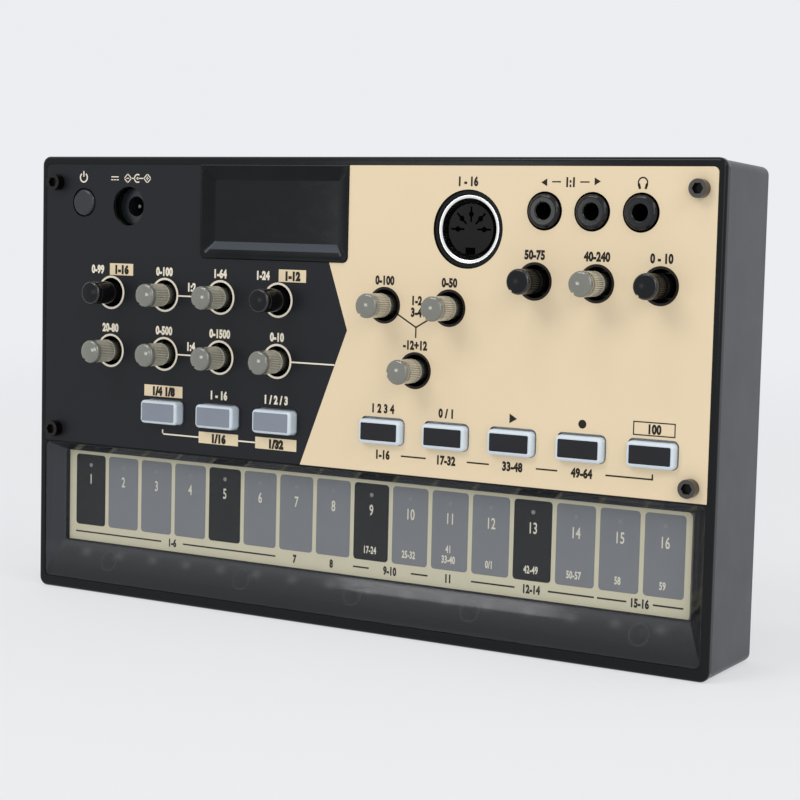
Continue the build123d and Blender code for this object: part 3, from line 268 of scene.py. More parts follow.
class Nodes:
    """A material's or the world's node tree in the making."""

    def __init__(self, tree):
        self.tree = tree
        tree.nodes.clear()

    def put(self, socket, item):
        if isinstance(item, Value):
            self.tree.links.new(item.socket, socket)
        elif hasattr(item, "__len__") and socket.type == "RGBA":
            socket.default_value = (*item, 1.0)[:4]
        else:
            socket.default_value = item

    def node(self, kind, settings=None, inputs=None, output=0):
        """Adds a node: its settings first, then the values or links of its sockets."""
        node = self.tree.nodes.new("ShaderNode" + kind)
        for key, value in (settings or {}).items():
            if key == "stops":
                ramp = node.color_ramp.elements
                while len(ramp) < len(value):
                    ramp.new(0.5)
                for element, (position, shade) in zip(ramp, value):
                    element.position = position
                    element.color = (*shade, 1.0)
            else:
                setattr(node, key, value)
        for key, item in (inputs or {}).items():
            self.put(node.inputs[key], item)
        return Value(self, node.outputs[output])

    def parts(self, vector):
        """The three parts of a vector."""
        split = self.node("SeparateXYZ", inputs={0: vector})
        return [Value(self, socket) for socket in split.socket.node.outputs]

    def at(self):
        """Right, up and into the case on the surface, in millimetres from the front's middle."""
        across, depth, up = self.parts(self.node("TexCoord", output="Object"))
        return across / MM, (up - MIDDLE_Z) / MM, (depth - FACE_Y) / MM

    def noise(self, size, detail=2.0, roughness=0.5, stretch=(1, 1, 1)):
        """Soft noise between 0 and 1 whose lumps are about size millimetres."""
        point = self.node("TexCoord", output="Object")
        scale = 1 / (size * MM)
        point = self.node("Mapping", inputs={
            "Vector": point, "Scale": [scale * part for part in stretch]})
        return self.node("TexNoise", {"noise_dimensions": "3D"},
                         {"Vector": point, "Scale": 1.0, "Detail": detail, "Roughness": roughness})

    def blend(self, factor, first, second):
        """Colour between two colours."""
        node = self.node("Mix", {"data_type": "RGBA"}, {0: factor}, output=2)
        mix = node.socket.node
        self.put(mix.inputs[6], first)
        self.put(mix.inputs[7], second)
        return node

    def drift(self, factor, colour, amount):
        """A colour that drifts darker and lighter with a factor."""
        darker = [part * (1 - amount) for part in colour]
        lighter = [min(1.0, part * (1 + amount)) for part in colour]
        return self.blend(factor, darker, lighter)

    def bump(self, height, depth):
        """Normal from a height; depth is the height's full swing in millimetres."""
        return self.node("Bump", inputs={"Distance": depth * MM, "Height": height})

    def wave(self, value):
        return self.node("Math", {"operation": "SINE"}, {0: value})

    def facing(self):
        """Direction that the surface faces: its right, back and up parts."""
        return self.parts(self.node("NewGeometry", output="Normal"))

    def close(self, shader, kind="OutputMaterial"):
        """Links the finished shader to the tree's output."""
        out = self.tree.nodes.new("ShaderNode" + kind)
        self.tree.links.new(shader.socket, out.inputs["Surface"])


class Finish(Nodes):
    """One material in the making, on the Principled shader."""

    def __init__(self, name):
        self.material = bpy.data.materials.get(name) or bpy.data.materials.new(name)
        self.material.use_nodes = True
        super().__init__(self.material.node_tree)

    def surface(self, inputs):
        """Closes the material with the Principled shader and its sockets' values or links."""
        self.close(self.node("BsdfPrincipled", inputs=inputs))
        return self.material


def plastic(name, colour, roughness, grain=0.25, depth=0.004, drift=0.08, scratch=0.0, shine=0.5):
    """Moulded plastic: slow colour drift, fine moulding grain, uneven gloss, light scratches."""
    finish = Finish(name)
    cloud = finish.noise(9.0, 3.0)
    fine = finish.noise(grain, 3.0, 0.6)
    marks = finish.noise(0.8, 4.0, 0.7, (0.06, 1, 1))
    height = fine * 0.8 + cloud * 0.2
    return finish.surface({
        "Base Color": finish.drift(cloud, colour, drift),
        "Roughness": (cloud - 0.5) * 0.12 + (marks > 0.62) * scratch + roughness,
        "Specular IOR Level": shine,
        "Normal": finish.bump(height, depth)})


def paint(name, colour, roughness):
    """Enamel on sheet metal: faint orange peel, a little dust in the gloss."""
    finish = Finish(name)
    cloud = finish.noise(30.0, 3.0)
    peel = finish.noise(0.7, 2.0)
    dust = finish.noise(0.12, 2.0, 0.8)
    shade = finish.drift(cloud, colour, 0.035)
    speck = finish.noise(1.1, 0.0) * finish.noise(0.35, 0.0)
    pale = [min(1.0, part * 1.25 + 0.03) for part in colour]
    return finish.surface({
        "Base Color": finish.blend((speck > 0.56) * 0.12, shade, pale),
        "Roughness": (cloud - 0.5) * 0.08 + (dust - 0.5) * 0.12 + roughness,
        "Specular IOR Level": 0.2,
        "Normal": finish.bump(peel * 0.9 + dust * 0.1, 0.006)})


def metal(name, colour, roughness, brush=(1, 1, 1)):
    """Plated or turned metal with fine tool marks."""
    finish = Finish(name)
    marks = finish.noise(0.3, 3.0, 0.6, brush)
    cloud = finish.noise(6.0, 2.0)
    return finish.surface({
        "Base Color": finish.drift(cloud, colour, 0.08),
        "Metallic": 1.0,
        "Roughness": (marks - 0.5) * 0.16 + roughness,
        "Normal": finish.bump(marks, 0.003)})


def ink(name, colour, roughness=0.42):
    """Screen-printed ink with a slightly uneven coat."""
    finish = Finish(name)
    fine = finish.noise(0.15, 2.0)
    return finish.surface({
        "Base Color": finish.drift(finish.noise(4.0, 2.0), colour, 0.04),
        "Roughness": (fine - 0.5) * 0.15 + roughness,
        "Specular IOR Level": 0.2,
        "Normal": finish.bump(fine, 0.002)})


# ---------------------------------------------------------------- mesh helpers
def finished(name, bm, body, materials, stands_for=(), sharp=32.0):
    """Turns a mesh in the making into a piece that rides on a body."""
    mesh = bpy.data.meshes.new(name)
    bm.to_mesh(mesh)
    bm.free()
    piece = bpy.data.objects.new(name, mesh)
    bpy.context.scene.collection.objects.link(piece)
    for material in materials if isinstance(materials, (list, tuple)) else [materials]:
        mesh.materials.append(material)
    mesh.shade_smooth()
    mesh.set_sharp_from_angle(angle=math.radians(sharp))
    piece.modifiers.new("even_normals", "WEIGHTED_NORMAL").keep_sharp = True
    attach(piece, body)
    if stands_for:
        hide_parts(*stands_for)
    return piece


def body_of(node):
    return frame["nodes"][node]["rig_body"]


def closed(bm):
    """Merges doubles and turns every face outward."""
    bmesh.ops.remove_doubles(bm, verts=bm.verts, dist=SAME_PLACE)
    bmesh.ops.recalc_face_normals(bm, faces=bm.faces)


def softened(node, edge, segments=2):
    """A merged copy of a CAD node's mesh with its sharp edges rounded."""
    bm = bmesh.new()
    bm.from_mesh(frame["nodes"][node].data)
    bmesh.ops.remove_doubles(bm, verts=bm.verts, dist=CAD_MERGE)
    bmesh.ops.dissolve_limit(bm, angle_limit=math.radians(0.4), use_dissolve_boundaries=False,
                             verts=bm.verts, edges=bm.edges)
    crisp = [item for item in bm.edges
             if item.is_manifold and item.calc_face_angle(0.0) > math.radians(30.0)]
    bmesh.ops.bevel(bm, geom=crisp, offset=edge, affect="EDGES", segments=segments,
                    profile=0.5, material=-1, clamp_overlap=True)
    return bm


def dressed(node, material, edge=None, segments=2):
    """Replaces a CAD node by its softened copy."""
    bm = softened(node, sizes().edge if edge is None else edge, segments)
    return finished(f"{node}_finish", bm, body_of(node), material, (node,))


def bar(bm, left, right, low, high, front=-INK, back=0.0):
    """Box between two edges each way, in millimetres."""
    size = ((right - left) * MM, (back - front) * MM, (high - low) * MM, 1)
    centre = spot((left + right) / 2, (low + high) / 2, (front + back) / 2)
    bmesh.ops.create_cube(bm, size=1.0, matrix=Matrix.Translation(centre) @ Matrix.Diagonal(size))


def stroke(bm, start, end, width, front=-INK, back=0.0):
    """Printed line between two points."""
    along = (end[0] - start[0], end[1] - start[1])
    length = math.hypot(*along) + width
    centre = spot((start[0] + end[0]) / 2, (start[1] + end[1]) / 2, (front + back) / 2)
    turn = Matrix.Rotation(-math.atan2(along[1], along[0]), 4, "Y")
    size = Matrix.Diagonal((length * MM, (back - front) * MM, width * MM, 1))
    bmesh.ops.create_cube(bm, size=1.0, matrix=Matrix.Translation(centre) @ turn @ size)


def path(bm, points, width):
    """Printed line through points."""
    for start, end in zip(points, points[1:]):
        stroke(bm, start, end, width)


def disc(bm, place, radius, sides, turn=0.0, front=-INK, back=0.0):
    """Flat round or many-sided plate."""
    centre = Matrix.Translation(spot(*place, (front + back) / 2))
    lay = Matrix.Rotation(math.radians(90), 4, "X") @ Matrix.Rotation(math.radians(turn), 4, "Z")
    bmesh.ops.create_cone(bm, cap_ends=True, cap_tris=False, segments=sides, radius1=radius * MM,
                          radius2=radius * MM, depth=(back - front) * MM, matrix=centre @ lay)


def arc(bm, place, outer, inner, steps, sweep=360.0, start=0.0):
    """Printed ring or part of one, counter-clockwise from the right as seen from the front."""
    ray = math.radians(start)
    made = [bm.verts.new(spot(place[0] + radius * math.cos(ray), place[1] + radius * math.sin(ray),
                              depth))
            for radius, depth in ((inner, -INK), (outer, -INK), (outer, 0.0), (inner, 0.0))]
    full = sweep >= 360
    if full:
        geometry = made + [bm.edges.new((made[n], made[(n + 1) % 4])) for n in range(4)]
    else:
        face = bm.faces.new(made)
        geometry = made + list(face.edges) + [face]
    bmesh.ops.spin(bm, geom=geometry, cent=spot(*place), axis=(0, -1, 0), dvec=(0, 0, 0),
                   angle=math.radians(sweep), steps=steps, use_merge=full, use_normal_flip=False,
                   use_duplicate=False)


def tile(bm, left, right, low, high, radius, front, back):
    """Flat plate with rounded corners between two depths."""
    corners = [bm.verts.new(spot(x, z, back))
               for x, z in ((left, low), (right, low), (right, high), (left, high))]
    bm.faces.new(corners)
    made = bmesh.ops.bevel(bm, geom=corners, offset=radius * MM, affect="VERTICES", segments=5,
                           profile=0.5, material=-1)
    face = max(made["verts"][0].link_faces, key=lambda item: len(item.verts))
    made = bmesh.ops.extrude_face_region(bm, geom=[face], use_keep_orig=True)
    moved = [item for item in made["geom"] if isinstance(item, bmesh.types.BMVert)]
    bmesh.ops.translate(bm, verts=moved, vec=(0, (front - back) * MM, 0))


def lathe(bm, place, profile, steps):
    """Turned solid about the depth axis from (radius, depth) points, in millimetres."""
    chain = [bm.verts.new(spot(place[0] + radius, place[1], depth)) for radius, depth in profile]
    links = [bm.edges.new(pair) for pair in zip(chain, chain[1:])]
    bmesh.ops.spin(bm, geom=chain + links, cent=spot(*place), axis=(0, 1, 0), dvec=(0, 0, 0),
                   angle=2 * math.pi, steps=steps, use_merge=True, use_normal_flip=False,
                   use_duplicate=False)


def words(bm, text, place, height, front=-INK, back=0.0, narrow=0.76, bold=0.055):
    """Printed figures about a place, height in metres."""
    curve = bpy.data.curves.new("lettering", "FONT")
    curve.body = text
    curve.align_x = "CENTER"
    curve.extrude = 0.5
    curve.offset = bold
    curve.resolution_u = 3
    curve.space_character = 1.06
    lettering = bpy.data.objects.new("lettering", curve)
    mesh = bpy.data.meshes.new_from_object(lettering)
    size = height / DIGIT_HEIGHT
    centre = spot(*place, (front + back) / 2) - Vector((0, 0, height / 2))
    lay = Matrix.Translation(centre) @ Matrix.Rotation(math.radians(90), 4, "X")
    mesh.transform(lay @ Matrix.Diagonal((size * narrow, size, (back - front) * MM, 1)))
    bm.from_mesh(mesh)
    bpy.data.objects.remove(lettering)
    bpy.data.curves.remove(curve)
    bpy.data.meshes.remove(mesh)


# ---------------------------------------------------------------- finishes
def finishes():
    """Every material of the drum machine, by name."""
    shade = colours()
    return {
        "frame": plastic("frame_black", shade.frame_black, 0.15, grain=0.5, depth=0.002,
                         drift=0.06, scratch=0.06, shine=0.2),
        "case": plastic("case_black", shade.case_black, 0.37, grain=0.16, depth=0.012),
        "panel_dark": paint("panel_dark", shade.panel_dark, 0.4),
        "panel_pale": paint("panel_pale", shade.panel_pale, 0.38),
        "ink_pale": ink("ink_pale", shade.ink_pale),
        "ink_dark": ink("ink_dark", shade.ink_dark),
        "ink_box": ink("ink_box", shade.ink_box),
        "black": plastic("moulded_black", tone(17, 18, 20), 0.22, grain=0.3, shine=0.3),
        "key_grey": ink("key_face_grey", shade.key_grey, 0.5),
        "key_black": ink("key_face_black", shade.key_black, 0.45),
        "strip_cream": ink("strip_cream", shade.strip_cream, 0.5),
        "strip_grey": ink("strip_grey", shade.strip_grey, 0.5),
        "strip_dark": ink("strip_dark", shade.strip_dark, 0.5),
        "strip_lamp": ink("strip_lamp", tone(134, 136, 135), 0.3),
        "strip_label": ink("strip_label", tone(222, 218, 200), 0.5),
        "jack": plastic("jack_black", tone(7, 8, 10), 0.13, grain=0.3, depth=0.002, drift=0.06,
                        shine=0.36),
        "inlet": plastic("inlet_black", tone(31, 33, 38), 0.24, grain=0.3, depth=0.003),
        "insert": plastic("socket_insert", tone(11, 11, 12), 0.3, grain=0.3, shine=0.14),
        "chrome": metal("socket_chrome", tone(238, 238, 236), 0.26, brush=(1, 0.1, 1)),
        # The power socket's pin is dark nickel, made darker still as painted shade for its place deep
        # in the bore.
        "pin": metal("socket_pin", tone(96, 94, 92), 0.22),
        "screw_steel": metal("screw_steel", tone(176, 174, 170), 0.3, brush=(1, 0.2, 1)),
        "contact": metal("contact_nickel", tone(196, 194, 188), 0.28, brush=(1, 1, 0.15)),
        "basket": metal("speaker_steel", tone(150, 150, 148), 0.38),
        "magnet": plastic("magnet_ferrite", tone(52, 52, 54), 0.55, grain=0.3, depth=0.01),
        "paper": plastic("speaker_paper", tone(44, 42, 40), 0.85, grain=0.12, depth=0.03, drift=0.2),
        "rubber": plastic("foot_rubber", tone(34, 34, 35), 0.78, grain=0.2, depth=0.02, drift=0.12),
        "mat": plastic("mat_silicone", tone(60, 60, 62), 0.6, grain=0.3, depth=0.006),
        "flat_cable": plastic("flat_cable", tone(206, 204, 196), 0.35, grain=0.5, depth=0.01),
        "board": board_finish("board_green", tone(14, 60, 38), tone(34, 92, 58), tone(190, 186, 170)),
        "board_dark": board_finish("board_dark", tone(16, 17, 19), tone(24, 26, 28), tone(30, 30, 30)),
        "screw_black": screw_finish(),
        "bezel": bezel_finish(),
        "cell": cell_finish(),
        "glass": glass_finish(),
        "lamp": lamp_finish(),
        "knob_clear": knob_finish(),
        "knob_black": knob_black_finish(),
        "key": key_finish(),
        "tray_clear": tray_clear_finish(),
        "tray_smoke": tray_smoke_finish(),
    }


def board_finish(name, mask, track_tone, pad):
    """Solder mask with copper tracks showing through and pads."""
    finish = Finish(name)
    across, up, _ = finish.at()
    wave = finish.noise(7.0, 1.0)
    grid = abs(finish.wave(across * 1.3 + wave * 9)) & abs(finish.wave(up * 1.3 + wave * 7))
    track = grid < 0.35
    pads = finish.noise(1.6, 0.0) > 0.74
    return finish.surface({
        "Base Color": finish.blend(pads, finish.blend(track * 0.6, mask, track_tone), pad),
        "Roughness": wave * 0.1 + 0.3,
        "Normal": finish.bump(track + pads, 0.02)})


def cell_finish():
    """Plain two-colour jacket with bare metal at both ends."""
    finish = Finish("cell_jacket")
    _, up, _ = finish.at()
    low, high = edges_of("aa_cells")[2:]
    end = (up - low) / (high - low) - 0.5
    bare = abs(end) > 0.485
    band = end > 0.2
    cloud = finish.noise(5.0, 2.0)
    jacket = finish.blend(band, tone(40, 42, 46), tone(170, 150, 104))
    return finish.surface({
        "Base Color": finish.blend(bare, jacket, tone(190, 188, 184)),
        "Metallic": bare * 0.9 + 0.1,
        "Roughness": cloud * 0.12 + 0.24,
        "Normal": finish.bump(finish.noise(0.6, 2.0), 0.003)})


def bezel_finish():
    """Glossy black plastic with a painted sheen, greyer on the slope that faces up."""
    finish = Finish("bezel_black")
    cloud = finish.noise(9.0, 3.0)
    # Painted sheen: faces that look up are made paler, as if lit from overhead.
    paler_share = (finish.facing()[2] > 0.35) * 0.8 + cloud * 0.1
    return finish.surface({
        "Base Color": finish.blend(paler_share, tone(9, 10, 12), tone(72, 76, 84)),
        "Roughness": (cloud - 0.5) * 0.1 + 0.2,
        "Specular IOR Level": 0.13,
        "Normal": finish.bump(finish.noise(0.5, 3.0), 0.002)})


def screw_finish():
    """Blackened steel, brighter on the right pair."""
    finish = Finish("screw_black")
    across, _, _ = finish.at()
    marks = finish.noise(0.25, 3.0, 0.6, (1, 0.2, 1))
    # The right pair is made brighter, and the tool marks paler.
    paler_share = (across > 0) * 0.5 + marks * 0.3
    return finish.surface({
        "Base Color": finish.blend(paler_share, tone(34, 33, 32), tone(98, 96, 93)),
        "Metallic": 1.0,
        "Roughness": (marks - 0.5) * 0.18 + 0.24,
        "Normal": finish.bump(marks, 0.004)})


def glass_finish():
    """Dark gloss lens over the display, with a faint smear in its gloss."""
    finish = Finish("display_lens")
    smear = finish.noise(6.0, 4.0, 0.7, (1, 1, 2.5))
    return finish.surface({
        "Base Color": finish.drift(smear, tone(14, 15, 17), 0.12),
        "Roughness": (smear > 0.55) * 0.02 + smear * 0.03 + 0.09,
        "Specular IOR Level": 0.22,
        "Normal": finish.bump(finish.noise(3.0, 1.0), 0.001)})


def lamp_finish():
    """Clear red lens of an unlit lamp."""
    finish = Finish("lamp_red")
    cloud = finish.noise(0.5, 2.0)
    return finish.surface({
        "Base Color": finish.drift(cloud, tone(120, 26, 24), 0.15),
        "Roughness": cloud * 0.1 + 0.15,
        "Transmission Weight": 0.4,
        "Normal": finish.bump(cloud, 0.004)})


def knob_finish():
    """Smoky clear plastic: paler behind the cap, with painted shade darker down in the hole and in the
    grooves.
    """
    finish = Finish("knob_clear")
    _, _, depth = finish.at()
    tip = depths_of(KNOBS[0])[0]
    cloud = finish.noise(2.2, 3.0)
    # The ramp's last stops are painted shade on the skirt towards the panel and down in the hole.
    ramp = finish.node("ValToRGB", {"stops": [
        (0.0, tone(109, 109, 99)), (0.1, tone(112, 112, 103)), (0.2, tone(150, 149, 139)),
        (0.24, tone(214, 210, 192)), (0.6, tone(224, 219, 200)), (0.79, tone(206, 200, 178)),
        (0.83, tone(128, 129, 121)), (0.92, tone(84, 81, 72)), (1.0, tone(36, 34, 29))]},
        {0: (depth - tip) / -tip})
    streak = finish.noise(0.5, 3.0, 0.6, (1, 0.15, 1))
    groove = finish.node("Attribute", {"attribute_name": "groove"}, output="Fac")
    shade = finish.blend(cloud * 0.2, ramp, colours().knob_clear)
    return finish.surface({
        # Painted shade in the grooves between the ribs.
        "Base Color": finish.blend(groove * 0.6, shade, tone(74, 71, 62)),
        "Roughness": streak * 0.06 + 0.07,
        "Transmission Weight": 0.08,
        "IOR": 1.6,
        "Subsurface Weight": 0.12,
        "Subsurface Radius": (0.002, 0.002, 0.0018),
        "Subsurface Scale": 1.0,
        "Coat Weight": 1.0,
        "Coat Roughness": 0.04,
        "Normal": finish.bump(streak, 0.002)})


def knob_black_finish():
    """Black plastic whose cap face carries a painted sheen, a little paler than its sleeve."""
    finish = Finish("knob_black")
    _, _, depth = finish.at()
    tip = depths_of(KNOBS[0])[0]
    cloud = finish.noise(2.2, 3.0)
    # Painted sheen: the ramp makes the cap's face paler than the sleeve.
    ramp = finish.node("ValToRGB", {"stops": [
        (0.0, tone(27, 28, 30)), (0.06, tone(27, 28, 32)), (0.12, tone(15, 15, 17)),
        (1.0, colours().knob_black)]}, {0: (depth - tip) / -tip})
    rim = (depth > tip + 0.32) & (depth < tip + 0.95)
    return finish.surface({
        "Base Color": finish.blend(cloud * 0.2, ramp, colours().knob_black),
        "Roughness": cloud * 0.08 + 0.14,
        "Specular IOR Level": 0.14,
        "Coat Weight": rim * 0.9,
        "Coat Roughness": 0.08,
        "Normal": finish.bump(finish.noise(0.4, 3.0), 0.003)})


def key_finish():
    """Pale translucent rubber."""
    finish = Finish("key_silicone")
    cloud = finish.noise(3.0, 2.0)
    fine = finish.noise(0.12, 2.0)
    return finish.surface({
        "Base Color": finish.drift(cloud, colours().key_body, 0.03),
        "Roughness": (fine - 0.5) * 0.15 + 0.42,
        "Subsurface Weight": 0.35,
        "Subsurface Radius": (0.0016, 0.0019, 0.0022),
        "Subsurface Scale": 1.0,
        "Normal": finish.bump(fine, 0.004)})


def tray_clear_finish():
    """Clear floor over the printed sheet."""
    finish = Finish("tray_clear")
    smear = finish.noise(12.0, 4.0, 0.65, (1, 1, 2.0))
    return finish.surface({
        "Base Color": finish.drift(smear, tone(120, 122, 126), 0.04),
        "Roughness": (smear > 0.6) * 0.04 + 0.05,
        "Alpha": smear * 0.02 + 0.05,
        "Normal": finish.bump(smear, 0.001)})


def tray_smoke_finish():
    """Smoky slopes with painted light and shade; the lower one has painted patches of light under the
    steps and a few rings.
    """
    finish = Finish("tray_smoke")
    cloud = finish.noise(14.0, 3.0)
    scuff = finish.noise(1.0, 4.0, 0.7, (0.1, 1, 1))
    across, up, _ = finish.at()
    left, _, low, _ = edges_of("step_print_sheet")
    foot = edges_of("step_tray")[2]
    # Painted light and shade up the lower slope: a painted shadow line at its foot, a thin painted
    # highlight above it, then a painted sheen that grows paler towards the sheet.
    rise = finish.node("ValToRGB", {"stops": [
        (0.0, tone(5, 5, 6)), (0.06, tone(8, 8, 9)), (0.09, tone(40, 42, 46)), (0.14, colours().smoke),
        (0.35, tone(30, 31, 34)), (0.75, tone(52, 53, 56)), (0.93, tone(68, 69, 72)),
        (1.0, tone(38, 39, 42))]}, {0: (up - foot) / (low - foot)})
    turn = (across - left - 2.3) * (2 * math.pi / step_pitch()) - math.pi / 2
    # Painted patches of light under the steps, in a row on the lower slope.
    light_spot_row, ring_row = low - 2.6, low - 4.2
    light_spots = (finish.wave(turn) * 0.5 + 0.5) ** 6 * (1 - abs(up - light_spot_row) / 1.5 | 0)
    rings = 0
    for middle in (-74.1, -31.0, 2.4, 35.3, 78.8):
        reach = (abs(across - middle) ** 2 + abs(up - ring_row) ** 2) ** 0.5
        rings = rings | (abs(reach - 2.4) < 0.2)
    aside = finish.facing()[0]
    tint = finish.blend(light_spots * 0.6, rise, tone(98, 99, 101))
    tint = finish.blend(rings * 0.25, tint, tone(92, 93, 96))
    # Painted sheen on the wall that faces right, and painted shade on the wall that faces left.
    tint = finish.blend((aside > 0.3) * 0.8, tint, tone(52, 56, 63))
    tint = finish.blend((aside < -0.3) * 0.9, tint, tone(10, 10, 12))
    return finish.surface({
        "Base Color": finish.blend(cloud * 0.1, tint, colours().smoke),
        "Roughness": (scuff > 0.64) * 0.08 + 0.07,
        "IOR": 1.49,
        "Alpha": cloud * 0.1 + 0.72,
        "Normal": finish.bump(cloud, 0.002)})


# ---------------------------------------------------------------- pieces
class DrumPiece(bpy.types.Operator):
    """Shared by the operators that make pieces"""
    bl_idname = "drum.piece"
    bl_label = "Piece"
    bl_options = {"REGISTER", "UNDO"}
    made = {}

    def execute(self, context):
        if not DrumPiece.made:
            DrumPiece.made.update(finishes())
        self.make(DrumPiece.made)
        return {"FINISHED"}

    def make(self, finish):
        raise RuntimeError("this operator makes nothing by itself")


class DRUM_OT_inside(DrumPiece):
    """Gives the boards, bodies, cells, contacts and speaker their materials"""
    bl_idname = "drum.inside"
    bl_label = "Inside"

    def make(self, finish):
        inside = {
            "main_board": "board", "touch_board": "board_dark", "board_link": "flat_cable",
            "step_lamps": "lamp", "pot_bodies": "black", "encoder_bodies": "black",
            "key_mats": "mat", "power_switch": "black", "dc_pin": "pin",
            "display_module": "glass", "display_holder": "black", "board_screws": "screw_steel",
            "aa_cells": "cell", "battery_contacts": "contact", "speaker_basket": "basket",
            "speaker_cone": "paper", "speaker_magnet": "magnet",
        }
        for node, material in inside.items():
            mesh = frame["nodes"][node].data
            mesh.materials.clear()
            mesh.materials.append(finish[material])


class DRUM_OT_case(DrumPiece):
    """Makes the front frame, the rear case, the battery cover and the feet"""
    bl_idname = "drum.case"
    bl_label = "Case"

    def make(self, finish):
        dressed("front_frame", finish["frame"], 0.22 * MM, 3)
        dressed("rear_case", finish["case"])
        dressed("battery_cover", finish["case"], 0.12 * MM)
        dressed("rubber_feet", finish["rubber"], 0.2 * MM)


class DRUM_OT_panel(DrumPiece):
    """Makes the two-colour panel"""
    bl_idname = "drum.panel"
    bl_label = "Panel"
    # The border between the two colours, from the upper edge to the lower one.
    top = (-4.9, 32.1)
    waist = (0.7, 15.8)
    foot = (-12.3, -17.9)
    level = (9.0, 15.8)     # a second point at the waist's height
    margin = 1.5            # the panel's edge reaches in this far, and its holes start behind it
    gap = 1.0               # the same around the display's notch

    def border(self, height):
        """Where the dark side ends at a height."""
        low, high = (self.waist, self.top) if height > self.waist[1] else (self.foot, self.waist)
        share = (height - low[1]) / (high[1] - low[1])
        return low[0] + share * (high[0] - low[0])

    def make(self, finish):
        bm = softened("front_panel", 0.12 * MM)
        for start, end in ((self.top, self.waist), (self.waist, self.foot), (self.waist, self.level)):
            along = Vector((end[0] - start[0], 0, end[1] - start[1]))
            bmesh.ops.bisect_plane(
                bm, geom=bm.verts[:] + bm.edges[:] + bm.faces[:], dist=SAME_PLACE,
                plane_co=spot(*start), plane_no=Vector((along.z, 0, -along.x)))
        left, right, low, high = edges_of("front_panel")
        notch_left, notch_right, notch_low, _ = edges_of("display_bezel")
        for face in bm.faces:
            across, up, _ = middle_of(face)
            face.material_index = int(across > self.border(up))
            inner = (left + self.margin < across < right - self.margin
                     and low + self.margin < up < high - self.margin)
            notch = (notch_left - self.gap < across < notch_right + self.gap
                     and up > notch_low - self.gap)
            # The walls of the holes and openings get the black material: painted shade in the gaps
            # around the knobs, keys and sockets.
            if inner and not notch and abs(face.normal.y) < 0.95:
                face.material_index = 2
        finished("front_panel_finish", bm, "case",
                 [finish["panel_dark"], finish["panel_pale"], finish["black"]],
                 ("front_panel",))


